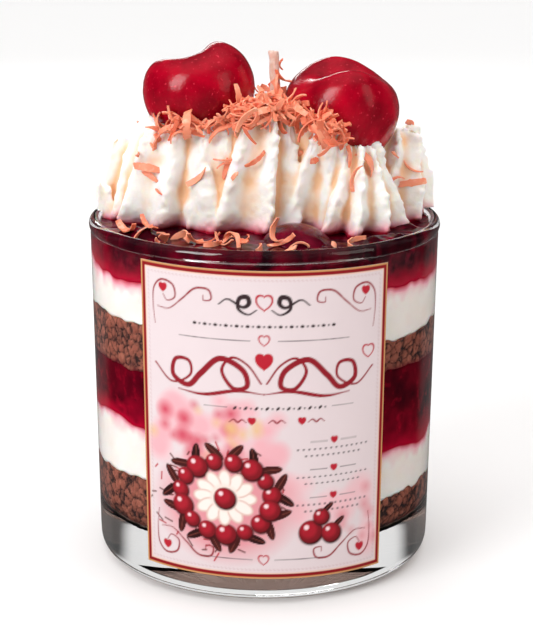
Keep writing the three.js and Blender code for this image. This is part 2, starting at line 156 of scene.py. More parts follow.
def noise(points, size, seed=0):
    """Smooth noise from -1 to 1, its bumps about `size` millimetres across."""
    scaled = np.asarray(points, float) / size
    cell = np.floor(scaled)
    part = scaled - cell
    part = part * part * (3 - 2 * part)
    total = 0
    for corner in np.ndindex(2, 2, 2):
        share = np.prod(np.where(corner, part, 1 - part), axis=-1)
        total = total + share * lattice(cell + corner, seed)
    return total * 2 - 1


def grains(points, size, seed=0):
    """How near the two nearest grains' centres are, in grain sizes, and the nearest one's number."""
    scaled = np.asarray(points, float) / size
    cell = np.floor(scaled)
    nearest = np.full(scaled.shape[:-1], 9.0)
    second = nearest.copy()
    number = np.zeros_like(nearest)
    for step in np.ndindex(3, 3, 3):
        other = cell + step - 1
        centre = other + np.stack([lattice(other, seed + axis) for axis in range(3)], -1)
        distance = np.linalg.norm(scaled - centre, axis=-1)
        closer = distance < nearest
        second = np.where(closer, nearest, np.minimum(second, distance))
        number = np.where(closer, lattice(other, seed + 3), number)
        nearest = np.where(closer, distance, nearest)
    return nearest, second, number


def paint(piece, name, values):
    """Keep one number for each point of the piece, for its material to read."""
    layer = piece.data.attributes.new(name, "FLOAT", "POINT")
    layer.data.foreach_set("value", np.asarray(values, np.float32).ravel())


# %% [markdown]
# ## Materials, in a few words each
#
# Every finish is built round one Principled shader, fed by a few small patterns. Typing out every
# node would bury the idea, so a short class holds the words that a finish needs: a speckle, a
# painted mask, a colour laid over another, and fine bumps that are too small to model.

# %% Helpers that make a finish
RANGE_SOCKETS = ("From Min", "From Max", "To Min", "To Max")


def colour(red, green, blue):
    """A colour as a screen shows it, 0 to 255, turned into the linear light that Blender works in."""
    share = np.array([red, green, blue]) / 255
    linear = np.where(share <= 0.04045, share / 12.92, ((share + 0.055) / 1.055) ** 2.4)
    return (*linear.tolist(), 1.0)


class Finish:
    """A material with one Principled shader, and short words for the nodes that feed it."""

    def __init__(self, name, **sockets):
        self.material = bpy.data.materials.new(name)
        self.material.use_nodes = True
        self.tree = self.material.node_tree
        self.shader = self.tree.nodes["Principled BSDF"]
        for socket, value in sockets.items():
            self.shader.inputs[socket.replace("_", " ")].default_value = value
        self.place = self.tree.nodes.new("ShaderNodeTexCoord").outputs["Object"]

    def node(self, kind, **settings):
        made = self.tree.nodes.new(kind)
        for setting, value in settings.items():
            setattr(made, setting, value)
        return made

    def set(self, socket, value):
        """Link a node's output, or put a plain number or colour, into a socket."""
        if isinstance(value, bpy.types.NodeSocket):
            self.tree.links.new(value, socket)
        else:
            socket.default_value = value

    def speckle(self, size, detail=2.0):
        """Noise whose patches are about `size` millimetres across."""
        made = self.node("ShaderNodeTexNoise")
        made.inputs["Scale"].default_value = 1 / (size * MM)
        made.inputs["Detail"].default_value = detail
        self.set(made.inputs["Vector"], self.place)
        return made.outputs["Fac"]

    def painted(self, name):
        return self.node("ShaderNodeAttribute", attribute_name=name).outputs["Fac"]

    def spread(self, value, low, high):
        """Stretch a value's range low..high to 0..1."""
        made = self.node("ShaderNodeMapRange", clamp=True)
        self.set(made.inputs["Value"], value)
        for socket, number in zip(RANGE_SOCKETS, (low, high)):
            made.inputs[socket].default_value = number
        return made.outputs["Result"]

    def mix(self, share, first, second):
        made = self.node("ShaderNodeMix", data_type="RGBA")
        self.set(made.inputs[0], share)
        self.set(made.inputs[6], first)
        self.set(made.inputs[7], second)
        return made.outputs[2]

    def cover(self, under, over, mask, low, high):
        """One colour over another, coming in as the mask rises from low to high."""
        return self.mix(self.spread(mask, low, high), under, over)

    def bumps(self, height, depth):
        """Fine relief, `depth` in millimetres."""
        made = self.node("ShaderNodeBump")
        made.inputs["Strength"].default_value = 1.0
        made.inputs["Distance"].default_value = depth * MM
        self.set(made.inputs["Height"], height)
        self.set(self.shader.inputs["Normal"], made.outputs["Normal"])

    def base(self, value):
        self.set(self.shader.inputs["Base Color"], value)
        return self

    def on(self, piece):
        piece.data.materials.clear()
        piece.data.materials.append(self.material)
        return piece


# %% [markdown]
# ## The glass
#
# A pressed tumbler has a heavy clear base, a straight wall and a round bead at the rim. It is
# turned from one outline, outside and inside, with many sides so that its edges bend the light
# smoothly. The outline repeats the solid's sizes: height and rim come from the frame.

# %% The glass's sizes
glass_low, glass_high = (np.array(corner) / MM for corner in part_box("glass"))
GLASS_HEIGHT = glass_high[2]
BEAD_RADIUS = glass_high[0]
BEAD_HEIGHT = 3.2
FOOT_RADIUS = BEAD_RADIUS - 1.3
TOP_RADIUS = BEAD_RADIUS - 0.3
HEEL = 4.0
WALL = 2.6
BASE = 12.4
CORNER = 5.0
GLASS_SIDES = 256


def outer_radius(height):
    return FOOT_RADIUS + (TOP_RADIUS - FOOT_RADIUS) * height / GLASS_HEIGHT


def inner_radius(height):
    return outer_radius(height) - WALL


print("glass", round(GLASS_HEIGHT, 1), "mm tall,", round(2 * BEAD_RADIUS, 1), "mm across")

# %% The glass's outline
def glass_outline():
    bead_middle = GLASS_HEIGHT - BEAD_HEIGHT / 2
    lip_inner = inner_radius(bead_middle) + 0.2
    lip_middle = (BEAD_RADIUS + lip_inner) / 2
    lip_size = (BEAD_RADIUS - lip_middle, BEAD_HEIGHT / 2)
    heel = arc((outer_radius(0) - HEEL, HEEL), HEEL, -90, 0, 16)
    lip = arc((lip_middle, bead_middle), lip_size, -55, 235, 28)
    corner = arc((inner_radius(BASE) - CORNER, BASE + CORNER), CORNER, 0, -90, 16)
    wall_heights = np.linspace(heel[-1][1] + 2, bead_middle - BEAD_HEIGHT / 2 - 0.4, 12)
    outside = [(outer_radius(height), height) for height in wall_heights]
    above_corner = [height for height in wall_heights[::-1] if height > BASE + CORNER + 1]
    inside = [(inner_radius(height), height) for height in above_corner]
    foot = [(radius, 0.0) for radius in np.linspace(0.5, heel[0][0] - 1, 8)]
    floor = [(radius, BASE) for radius in np.linspace(corner[-1][0] - 1, 0.5, 8)]
    return np.vstack([foot, heel, outside, lip, inside, corner, floor])


tumbler = add_piece("tumbler", *skin(turned(glass_outline(), GLASS_SIDES)))
stand_for(tumbler, "glass", "glass")

# %% [markdown]
# Clear glass is a Principled shader that lets all light through. In the render, light would
# reach the layers only by chance through two curved faces, so for shadow rays alone the glass
# gives way to a transparent shader: the layers behind it are lit cleanly. The wall's faint
# waviness, left by the mould, is a very low bump.

# %% The glass's finish
clear_glass = Finish("clear_glass", Roughness=0.0, IOR=1.5, Transmission_Weight=1.0)
clear_glass.base((0.975, 0.985, 0.985, 1))
clear_glass.bumps(clear_glass.speckle(14, detail=0), 0.02)
through = clear_glass.node("ShaderNodeBsdfTransparent")
light_path = clear_glass.node("ShaderNodeLightPath")
either = clear_glass.node("ShaderNodeMixShader")
clear_glass.set(either.inputs[0], light_path.outputs["Is Shadow Ray"])
clear_glass.set(either.inputs[1], clear_glass.shader.outputs["BSDF"])
clear_glass.set(either.inputs[2], through.outputs["BSDF"])
clear_glass.set(clear_glass.tree.nodes["Material Output"].inputs["Surface"], either.outputs["Shader"])
clear_glass.on(tumbler)

# %% [markdown]
# ## Where the layers meet
#
# Six layers were poured one on the other, so two neighbours share one wavy surface. Each surface
# is a height on the axis, a tilt, and waves that grow towards the wall; the solids use the same
# rule. Here small lumps are added that only show against the glass: crumb tops are knobbly, and
# jelly sinks into the cream below it in soft waves.

# %% The surfaces between the layers
JELLY_TOP = 78.6
meetings = {
    "crumb_lower_top": {"height": 22.3, "tilt": -0.07, "wave": 0.9, "lumps": 0.75, "size": 3.2},
    "cream_lower_top": {"height": 34.2, "tilt": -0.1, "wave": 1.1, "lumps": 0.9, "size": 7.0},
    "jelly_lower_top": {"height": 49.9, "tilt": 0.0, "wave": 0.5, "lumps": 0.35, "size": 2.4},
    "crumb_upper_top": {"height": 59.3, "tilt": -0.055, "wave": 0.8, "lumps": 0.75, "size": 3.4},
    "cream_upper_top": {"height": 70.4, "tilt": -0.025, "wave": 0.9, "lumps": 0.9, "size": 5.0},
}


def meeting_height(name, x, y):
    """How high two layers meet above the place (x, y)."""
    m = meetings[name]
    angle = np.arctan2(x, -y)
    share = np.hypot(x, y) / inner_radius(m["height"])
    phase = m["height"]
    waves = np.sin(3 * angle + phase) + 0.6 * np.sin(7 * angle + 2.3 * phase)
    waves = waves + 0.35 * np.sin(13 * angle + 4.1 * phase)
    place = np.stack([x, y, np.full_like(x, phase)], -1)
    lumps = noise(place, m["size"], 31) + 0.5 * noise(place, m["size"] / 2, 32)
    return m["height"] + m["tilt"] * x + 0.6 * m["wave"] * waves * share + m["lumps"] * lumps * share


for name in meetings:
    around = np.linspace(0, 2 * math.pi, 90)
    edge = meeting_height(name, 37 * np.cos(around), 37 * np.sin(around))
    print(name, "at the wall:", edge.min().round(1), "to", edge.max().round(1), "mm")

# %% [markdown]
# ## One layer
#
# A layer is a disc: a lower surface, a wall and an upper surface. Its wall reaches a little way
# into the glass's own wall, so that no air gap shows between the two. A fine grid on the wall
# carries the relief.

# %% A layer between two heights
INTO_WALL = 0.35
DISC_ROWS = 4


def layer_rings(low, high, sides, wall_rows, wall=None):
    """Rings from the middle of the lower surface, up the wall, to the middle of the upper one."""
    angle = np.linspace(0, 2 * math.pi, sides, endpoint=False)
    reach = inner_radius(low_height(low)) + INTO_WALL
    x, y = np.cos(angle), np.sin(angle)
    rings = []

    def ring(radius, height):
        rings.append(np.stack([radius * x, radius * y, height + np.zeros_like(x)], -1))

    for share in np.linspace(0.02, 0.97, DISC_ROWS):
        ring(reach * share, level(low, reach * share * x, reach * share * y))
    bottom, top = level(low, reach * x, reach * y), level(high, reach * x, reach * y)
    for share in np.linspace(0, 1, wall_rows):
        height = bottom + (top - bottom) * share
        ring((inner_radius(height) + INTO_WALL) if wall is None else wall(height), height)
    for share in np.linspace(0.97, 0.02, DISC_ROWS):
        ring(reach * share, level(high, reach * share * x, reach * share * y))
    return np.array(rings)


def low_height(edge):
    return edge if np.isscalar(edge) and not isinstance(edge, str) else meetings[edge]["height"]


def level(edge, x, y):
    """A height above (x, y): a plain number, or the surface of that name."""
    return meeting_height(edge, x, y) if isinstance(edge, str) else np.full_like(x, float(edge))


# %% [markdown]
# ## The crumb layers
#
# Against the glass the crumb shows as brown grains of 1 to 3 mm with dark gaps between them. A
# bump would look like painted dots at the edge of the glass, so the wall is really moved in and
# out: big grains, small grains on them, and pits where several grains leave a hole. On the
# straight wall even the pits end inside the glass, because air behind it would shine like a mirror.

# %% Crumb relief
def crumb_relief(points):
    """How far the crumb stands back from its outermost grains, in mm, and each grain's number."""
    warp = points + 0.5 * np.stack([noise(points, 1.6, seed) for seed in (41, 42, 43)], -1)
    near, second, number = grains(warp, 2.1, 50)
    fine_near, fine_second, fine_number = grains(warp, 0.95, 60)
    gap = np.exp(-(((second - near) / 0.11) ** 2))
    fine_gap = np.exp(-(((fine_second - fine_near) / 0.16) ** 2))
    hole = np.clip((number - 0.8) / 0.05, 0, 1) * np.clip(1.15 - near * 1.3, 0, 1)
    back = 0.5 * near**2 + 0.55 * gap + 0.22 * fine_near + 0.25 * fine_gap + 1.0 * hole
    return back, 0.5 * number + 0.5 * fine_number


CRUMB_LIFT = 0.6
CRUMB_DEPTH = 0.93
CRUMB_SIDES = 700
POURED_SIDES = 480


def add_crumb(name, low, high, wall_rows, wall=None):
    rings = layer_rings(low, high, CRUMB_SIDES, wall_rows, wall=wall)
    points, faces = skin(rings)
    back, number = crumb_relief(points)
    side = np.hypot(points[:, 0], points[:, 1])
    on_wall = side > inner_radius(points[:, 2]) * 0.9
    keep = np.where(on_wall, (side + CRUMB_LIFT - np.minimum(0.62 * back, CRUMB_DEPTH)) / side, 1)
    points[:, :2] *= keep[:, None]
    piece = add_piece(name, points, faces)
    paint(piece, "pit", np.where(on_wall, np.clip(back / 1.25, 0, 1), 0))
    paint(piece, "grain", number)
    return piece


def corner_wall(height):
    """The lowest layer's wall follows the round corner inside the glass."""
    depth = np.clip(BASE + CORNER - height, 0, CORNER)
    middle = inner_radius(BASE) - CORNER
    rounded = middle + np.sqrt(np.clip((CORNER + 0.25) ** 2 - depth**2, 0, None))
    return np.where(height < BASE + CORNER, rounded, inner_radius(height) + INTO_WALL)


crumb_bottom = add_crumb("crumb_bottom", BASE - 0.1, "crumb_lower_top", 34, wall=corner_wall)
crumb_middle = add_crumb("crumb_middle", "jelly_lower_top", "crumb_upper_top", 32)
stand_for(crumb_bottom, "crumb", "crumb_lower")
stand_for(crumb_middle, "crumb", "crumb_upper")

# %% [markdown]
# The crumb is a dull reddish brown. Each grain is a little lighter or darker than its neighbour,
# and a painted shade makes each pit nearly black, because no light gets in. The pits were painted
# on the points as the relief was made, so colour and shape agree. The lowest layer's underside is
# pressed flat on the base and painted pale, which is how it shows through the thick glass.

# %% The crumb's finish
def soak_and_glow_of(piece, surfaces, reach, amount):
    """Paint how near each point is to a jelly surface: 1 on it, falling off over `reach` mm. In crumb and
    cream it is red soaked in; in jelly it is a painted glow, brighter near the white cream.
    """
    points = points_of(piece)
    soak_and_glow = np.zeros(len(points))
    for name in surfaces:
        distance = np.abs(points[:, 2] - meeting_height(name, points[:, 0], points[:, 1]))
        wobble = 1 + 0.6 * noise(points, 3.5, 71) + 0.35 * noise(points, 1.4, 72)
        soak_and_glow = np.maximum(soak_and_glow, np.exp(-distance / (reach * np.clip(wobble, 0.2, 2))))
    paint(piece, "soak_and_glow", soak_and_glow * amount)


soak_and_glow_of(crumb_bottom, [], 1.0, 1.0)
crumb_points = points_of(crumb_bottom)
paint(crumb_bottom, "pressed", np.clip((BASE + 0.6 - crumb_points[:, 2]) / 0.5, 0, 1))
soak_and_glow_of(crumb_middle, ["jelly_lower_top"], 0.45, 0.9)

crumb_finish = Finish("crumb_finish", Roughness=0.85)
grain_tone = crumb_finish.mix(crumb_finish.painted("grain"), colour(118, 62, 48), colour(192, 116, 93))
mottled = crumb_finish.cover(grain_tone, colour(150, 82, 65), crumb_finish.speckle(1.1), 0.35, 0.65)
# Painted shade: the pits and the gaps between grains turn nearly black.
pit_shade = crumb_finish.cover(mottled, colour(38, 16, 14), crumb_finish.painted("pit"), 0.25, 0.85)
pale_underside = crumb_finish.mix(crumb_finish.painted("pressed"), pit_shade, colour(226, 196, 184))
crumb_finish.base(crumb_finish.mix(crumb_finish.painted("soak_and_glow"), pale_underside, colour(120, 4, 26)))
crumb_finish.bumps(crumb_finish.speckle(0.5, detail=3), 0.12)
crumb_finish.on(crumb_bottom)
crumb_finish.on(crumb_middle)

# %% [markdown]
# ## The poured cream and jelly layers
#
# Cream was poured smooth and lies flat against the glass. Where jelly rests on it, its colour
# has crept into the white wax, so the boundary is a soft pink band instead of a line. The jelly
# is dark and deep, and only its thin edges glow crimson: a painted glow near the cream, for
# light that the white wax sends back through the jelly.

# %% The cream and jelly layers
def add_poured(name, low, high, rows):
    return add_piece(name, *skin(layer_rings(low, high, POURED_SIDES, rows)))


cream_bottom = add_poured("cream_bottom", "crumb_lower_top", "cream_lower_top", 26)
jelly_middle = add_poured("jelly_middle", "cream_lower_top", "jelly_lower_top", 30)
cream_middle = add_poured("cream_middle", "crumb_upper_top", "cream_upper_top", 26)
stand_for(cream_bottom, "cream", "cream_lower")
stand_for(jelly_middle, "jelly", "jelly_lower")
stand_for(cream_middle, "cream", "cream_upper")
soak_and_glow_of(cream_bottom, ["cream_lower_top"], 1.5, 1.0)
soak_and_glow_of(cream_middle, ["cream_upper_top"], 1.9, 1.0)
# On the jelly this paint is a painted glow: brighter crimson near the white cream under it.
soak_and_glow_of(jelly_middle, ["cream_lower_top"], 4.0, 1.0)

# %% [markdown]
# ## The jelly on top
#
# The top layer is the only jelly with an open surface: a wet crescent in front of the cream. It
# is poured level but not flat, with soft swirls, small lumps of fruit and a raised edge where it
# clings to the glass.

# %% The top jelly's surface
fruit_lumps = {
    "chunks": [(-29.5, -15.6), (-27.2, -18.4), (-24.0, -19.6), (28.4, -18.6), (24.8, -21.6), (31.6, -8.0)],
    "radius": 2.6,
    "height": 1.3,
}


def jelly_surface(x, y):
    """Height of the open jelly above (x, y)."""
    place = np.stack([x, y, np.zeros_like(x)], -1)
    side = np.hypot(x, y)
    ripples = 0.32 * noise(place, 8, 81) + 0.2 * noise(place, 3.6, 82) + 0.08 * noise(place, 1.6, 83)
    cling = 0.9 * np.exp(-((inner_radius(JELLY_TOP) + INTO_WALL - side) / 0.9))
    height = JELLY_TOP - 0.25 + ripples + cling
    for chunk_x, chunk_y in fruit_lumps["chunks"]:
        near = np.hypot(x - chunk_x, y - chunk_y) / fruit_lumps["radius"]
        height = height + fruit_lumps["height"] * np.exp(-(near**3)) * (1 + 0.4 * noise(place, 2.0, 84))
    return height


def add_top_jelly():
    wall = layer_rings("cream_upper_top", JELLY_TOP - 0.2, POURED_SIDES, 18)
    wall = wall[:-DISC_ROWS]
    angle = np.linspace(0, 2 * math.pi, POURED_SIDES, endpoint=False)
    reach = np.hypot(wall[-1, 0, 0], wall[-1, 0, 1])
    discs = []
    for share in 1 - np.linspace(0.003, 1, 70) ** 1.15 * 0.99:
        x, y = reach * share * np.cos(angle), reach * share * np.sin(angle)
        discs.append(np.stack([x, y, jelly_surface(x, y)], -1))
    return add_piece("jelly_surface", *skin(np.vstack([wall, discs])))


top_jelly = add_top_jelly()
stand_for(top_jelly, "jelly", "jelly_top")
# Painted glow again: the top jelly is brighter crimson near the cream under it.
soak_and_glow_of(top_jelly, ["cream_upper_top"], 3.2, 1.0)

# %% [markdown]
# The layered cream is nearly white wax, pink to crimson where the jelly has soaked in. Jelly could
# be a clear shader with depth; here it is opaque, and clouds of lighter and darker red stand for
# its depth. The open jelly is darker and wetter, and its reflection is kept weak, because a strong
# one lays a pale veil over a dark surface that is seen at a low angle.

# %% The cream and jelly finishes
cream_finish = Finish("cream_finish", Roughness=0.5, Subsurface_Weight=0.35, Subsurface_Scale=0.002)
ivory = cream_finish.cover(colour(251, 247, 243), colour(246, 239, 232), cream_finish.speckle(6), 0.3, 0.7)
cream_soak = cream_finish.painted("soak_and_glow")
pink = cream_finish.cover(ivory, colour(243, 176, 190), cream_soak, 0.1, 0.55)
cream_finish.base(cream_finish.cover(pink, colour(196, 16, 60), cream_soak, 0.5, 0.95))
cream_finish.bumps(cream_finish.speckle(0.7), 0.05)
for piece in (cream_bottom, cream_middle):
    cream_finish.on(piece)

jelly_finish = Finish("jelly_finish", Roughness=0.09, Specular_IOR_Level=0.0)
wide_clouds, fine_clouds = (jelly_finish.speckle(size, detail=3) for size in (9, 2.2))
depths = jelly_finish.cover(colour(46, 3, 14), colour(112, 4, 26), wide_clouds, 0.35, 0.7)
threads = jelly_finish.cover(depths, colour(142, 8, 34), fine_clouds, 0.55, 0.75)
# The painted glow turns the jelly bright crimson near the cream.
jelly_finish.base(jelly_finish.cover(threads, colour(176, 8, 44), jelly_finish.painted("soak_and_glow"), 0.15, 0.9))
jelly_finish.on(jelly_middle)

open_jelly = Finish("open_jelly", Roughness=0.05, Specular_IOR_Level=0.1)
wide_clouds, fine_clouds = (open_jelly.speckle(size, detail=3) for size in (7, 3.4))
deep = open_jelly.cover(colour(26, 0, 6), colour(66, 2, 16), wide_clouds, 0.35, 0.7)
# Lighter crimson streaks, partly swirls of the jelly's own colour, partly a painted highlight for the
# bright streaks seen through the rim.
swirls_and_sheen = open_jelly.cover(deep, colour(120, 3, 34), fine_clouds, 0.52, 0.8)
# The painted glow turns the open jelly bright crimson near the cream under it.
open_jelly.base(open_jelly.cover(swirls_and_sheen, colour(176, 8, 44), open_jelly.painted("soak_and_glow"), 0.1, 0.9))
open_jelly.bumps(open_jelly.speckle(2.6, detail=2), 0.05)
open_jelly.on(top_jelly)

# %% [markdown]
# ## The piped cream
#
# Each drop was piped through a star nozzle: a broad foot, a steep fluted side, and a crown where
# the ridges curl out in ragged horns. A formula sets every ring's reach, so one list gives them
# all. The drops are those of the solids, with slightly sharper ridges. Four slimmer ones, the
# crests, are made only here: they stand in the drops and add ridges that folded over. The skins
# are then melted into one by a voxel remesh, as soft wax melts together where drops touch.

# %% The drops
# A row: middle of the foot, its radius, the tip, how broad the crown stays (0 cone, 1 barrel), how
# many ridges, the direction of the first, and how deep the grooves are where they are shallow.
DROP_WORDS = ("foot", "radius", "tip", "crown", "ridges", "turn", "depth")
drop_rows = [
    ((-1.2, 6.6), 15, (0, 0.3, 107.4), 0, 9, 0.2),
    ((-3.4, -4.4), 13, (-0.8, -4.8, 105), 0.45, 8, -1.45),
    ((-12.5, -3.4), 9.5, (-12.2, -6.4, 101.8), 0.6, 6, -1.2, 0.2),
    ((-12, -11.6), 3.5, (-14.6, -9.4, 92.6), 1, 3, -1.5, 0.15),
    ((12, -2.6), 11, (15.4, -8.2, 104), 0.35, 7, -2.4),
    ((7.4, -7), 3, (11.4, -9.6, 93.5), 1, 3, -2.2, 0.2),
    ((19.8, -5.2), 13.6, (19.6, -6.6, 97.8), 0, 10, -1.6),
    ((27.5, 8), 12.8, (30.2, 8.2, 98.8), 0.4, 9, -0.3),
    ((17.6, 20.4), 12, (17, 19, 99.5), 0.5, 8, 0.9),
    ((0.5, 26.2), 12.2, (0.5, 24, 100.5), 0.5, 9, 1.5),
    ((-17, 20.4), 12, (-15, 19, 99.6), 0.5, 8, 1.9),
    ((-27.3, 9.4), 12.6, (-29, 8, 96.8), 0.7, 9, 3.4),
    ((-21.2, 2.4), 13.8, (-19, -1.8, 101.6), 0.8, 8, -1.9, 0.18),
    ((-36.6, 2), 3, (-37.6, 2, 86), 0.9, 4, 2.2),
]
crest_rows = [
    ((4.0, -3.6), 6.6, (5.4, -6.2, 103.4), 0.55, 5, -1.9),
    ((-6.5, -3.6), 6.6, (-5.2, -6.4, 104.0), 0.5, 5, -1.2),
    ((13.2, -7.4), 5.6, (14.8, -10.4, 101.2), 0.6, 5, -1.7),
    ((-22.5, -2), 6.5, (-22.6, -4.4, 100.8), 0.6, 5, -1.5),
]
drops, crests = ([dict(zip(DROP_WORDS, row)) for row in rows] for rows in (drop_rows, crest_rows))
RIDGE_DEPTH = 0.35
RIDGE_ROUND = 0.4
MELT_VOXEL = 0.45
TOE_REACH = 0.1
HORN_RISE = 2.8
CREAM_FOOT = JELLY_TOP - 1.5
cone_profile = [
    (0.76, 0), (0.93, 0.07), (1, 0.17), (0.93, 0.36), (0.77, 0.56), (0.54, 0.75), (0.27, 0.91), (0, 1)]
barrel_profile = [
    (0.76, 0), (0.93, 0.07), (1, 0.18), (0.93, 0.45), (0.86, 0.65), (0.76, 0.83), (0.5, 0.95), (0, 1)]


def random_stream(seed):
    """The same row of random numbers as the solids use."""
    state = seed
    while True:
        state = (state * 1664525 + 1013904223) % 4294967296
        yield state / 4294967296


def smooth_curve(points, count):
    """Points along a smooth curve through the given ones."""
    points = np.array(points, float)
    padded = np.vstack([2 * points[0] - points[1], points, 2 * points[-1] - points[-2]])
    place = np.linspace(0, len(points) - 1, count)
    leg = np.minimum(place.astype(int), len(points) - 2)
    t = (place - leg)[:, None]
    a, b, c, d = (padded[leg + step] for step in range(4))
    start = 2 * b + (c - a) * t + (2 * a - 5 * b + 4 * c - d) * t**2
    return 0.5 * (start + (3 * b - a - 3 * c + d) * t**3)


def ridge_height(lap, shift):
    """1 on a ridge's crest, 0 in the groove; the crest is narrow, the groove a broad hollow."""
    across = lap - np.round(lap)
    across = across - shift * (1 - 4 * across**2)
    bend = (np.sin(math.pi * across) ** 2 + RIDGE_ROUND**2) ** 0.47 - RIDGE_ROUND**0.94
    return 1 - bend / ((1 + RIDGE_ROUND**2) ** 0.47 - RIDGE_ROUND**0.94)


def drop_rings(drop, rings=96, columns=270):
    ridges = drop["ridges"]
    stream = random_stream(ridges * 97 + round(drop["foot"][0] * 10) + 500)
    horns = np.array([HORN_RISE * (0.2 + 0.8 * next(stream)) for _ in range(ridges)])
    strengths = np.array([0.72 + 0.42 * next(stream) for _ in range(ridges)])
    shifts = np.array([0.16 * (2 * next(stream) - 1) for _ in range(ridges)])
    share = np.linspace(0, 1, rings)[:, None]
    cone, barrel = smooth_curve(cone_profile, rings), smooth_curve(barrel_profile, rings)
    profile = cone + (barrel - cone) * drop["crown"]
    around = np.linspace(0, 2 * math.pi, columns, endpoint=False)[None, :]
    lap = around * ridges / (2 * math.pi)
    number = np.round(lap).astype(int) % ridges
    ridge = ridge_height(lap, shifts[number])
    fade = 1 - 0.45 * share**1.5
    horn = horns[number] * ridge * np.exp(-(((share - 0.8) / 0.11) ** 2))
    toe = TOE_REACH * ridge * np.exp(-(((share - 0.16) / 0.12) ** 2))
    depth = drop.get("depth", RIDGE_DEPTH)
    reach = drop["radius"] * profile[:, :1] * (1 - depth * fade * (1 - strengths[number] * ridge) + toe)
    reach = reach + 0.35 * horn
    twist = around + drop["turn"] + 0.45 * share
    lean = share**1.6
    foot, tip = drop["foot"], drop["tip"]
    x = foot[0] + (tip[0] - foot[0]) * lean + reach * np.cos(twist)
    y = foot[1] + (tip[1] - foot[1]) * lean + reach * np.sin(twist)
    z = CREAM_FOOT + (tip[2] - CREAM_FOOT) * profile[:, 1:] + horn
    return np.stack([x, y, z], -1)


def join_skins(skins):
    """One list of points and faces from many."""
    points, faces, start = [], [], 0
    for part_points, part_faces in skins:
        points.append(part_points)
        faces += [[start + corner for corner in face] for face in part_faces]
        start += len(part_points)
    return np.vstack(points), faces


def melt(piece, voxel):
    """Join all the closed skins of a piece into one, with faces about `voxel` mm across."""
    for kind, settings in (("REMESH", {"mode": "VOXEL", "voxel_size": voxel * MM}),
                           ("SMOOTH", {"factor": 0.5, "iterations": 2})):
        modifier = piece.modifiers.new(kind.lower(), kind)
        for setting, value in settings.items():
            setattr(modifier, setting, value)
    settled = piece.evaluated_get(bpy.context.evaluated_depsgraph_get())
    mesh = bpy.data.meshes.new_from_object(settled)
    piece.modifiers.clear()
    piece.data = mesh
    mesh.polygons.foreach_set("use_smooth", [True] * len(mesh.polygons))
    return piece


drop_skins = [skin(drop_rings(drop)) for drop in drops + crests]
piped = melt(add_piece("piped_cream", *join_skins(drop_skins)), MELT_VOXEL)
print("piped cream:", len(piped.data.polygons), "faces")

# %% [markdown]
# The melted skin is too smooth. Real piped wax drags: its crests are shaggy, its sides carry
# small tears. Each point moves a little along its own normal, more near the crowns. The points
# near the wall are then held inside the glass, because a drop pressed against it goes flat.

# %% Shaggy crests, and room for the rim
def normals_of(piece):
    flat = np.zeros(len(piece.data.vertices) * 3)
    piece.data.vertices.foreach_get("normal", flat)
    return flat.reshape(-1, 3)


def hold_inside_glass(points):
    """Pull points in to the wall's inner face, or over the rim to its outer edge."""
    side = np.hypot(points[:, 0], points[:, 1])
    below_rim = points[:, 2] < GLASS_HEIGHT + 0.4
    limit = np.where(below_rim, inner_radius(GLASS_HEIGHT) - 0.1, TOP_RADIUS - 0.2)
    points[:, :2] *= np.minimum(1, limit / np.maximum(side, 1e-6))[:, None]
    return points


def hollowness(piece, steps):
    """How deep each point lies in a hollow, in mm: its distance below its neighbours' average."""
    points = points_of(piece)
    edges = np.zeros(len(piece.data.edges) * 2, np.int64)
    piece.data.edges.foreach_get("vertices", edges)
    first, second = edges.reshape(-1, 2).T
    count = np.bincount(edges, minlength=len(points))[:, None]
    smooth = points.copy()
    for _ in range(steps):
        total = np.zeros_like(smooth)
        for axis in range(3):
            total[:, axis] = np.bincount(first, smooth[second, axis], len(points))
            total[:, axis] += np.bincount(second, smooth[first, axis], len(points))
        smooth = total / np.maximum(count, 1)
    return np.sum((smooth - points) * normals_of(piece), axis=1)


cream_points = points_of(piped)
on_crest = np.clip(-hollowness(piped, 10) / 0.25, 0, 1)
high = np.clip((cream_points[:, 2] - 88) / 10, 0, 1)
torn = 0.35 * noise(cream_points, 3.6, 91)
shags = 0.85 * noise(cream_points, 1.7, 92) + 0.6 * noise(cream_points, 0.85, 93)
torn += on_crest * (0.5 + 0.6 * high) * shags
torn += 0.09 * noise(cream_points, 0.9, 94)
cream_points = hold_inside_glass(cream_points + normals_of(piped) * torn[:, None])
move_points(piped, cream_points)
stand_for(piped, "cream", "cream_topping")

# How deep each point lies in a hollow, used below for a painted peach shade in the grooves.
paint(piped, "hollow", np.clip(hollowness(piped, 60) / 0.8, 0, 1))
foot_wobble = 1 + 0.5 * noise(cream_points, 4, 95)
paint(piped, "soak_and_glow", np.exp(-np.clip(cream_points[:, 2] - JELLY_TOP, 0, None) / (1.9 * foot_wobble)))

# %% [markdown]
# The cream is white wax with a little depth: light scatters in it, so shaded grooves turn warm
# instead of grey. Subsurface does that on thick parts, and a peach shade painted in the hollows
# deepens it in the grooves. At its foot the cream has drawn up some red from the jelly.

# %% The piped cream's finish
piped_finish = Finish("piped_cream_finish", Roughness=0.5, Specular_IOR_Level=0.3,
                      Subsurface_Weight=0.5, Subsurface_Scale=0.0015)
piped_finish.shader.inputs["Subsurface Radius"].default_value = (1.0, 0.65, 0.35)
white = piped_finish.mix(piped_finish.speckle(5), colour(254, 251, 247), colour(252, 245, 236))
# Painted shade: the grooves turn peach, as shaded wax does.
peach_shade = piped_finish.cover(white, colour(246, 200, 158), piped_finish.painted("hollow"), 0.0, 0.8)
piped_soak = piped_finish.painted("soak_and_glow")
blush = piped_finish.cover(peach_shade, colour(240, 168, 180), piped_soak, 0.12, 0.6)
piped_finish.base(piped_finish.cover(blush, colour(190, 20, 54), piped_soak, 0.6, 0.97))
piped_finish.bumps(piped_finish.speckle(0.6), 0.08)
piped_finish.on(piped)

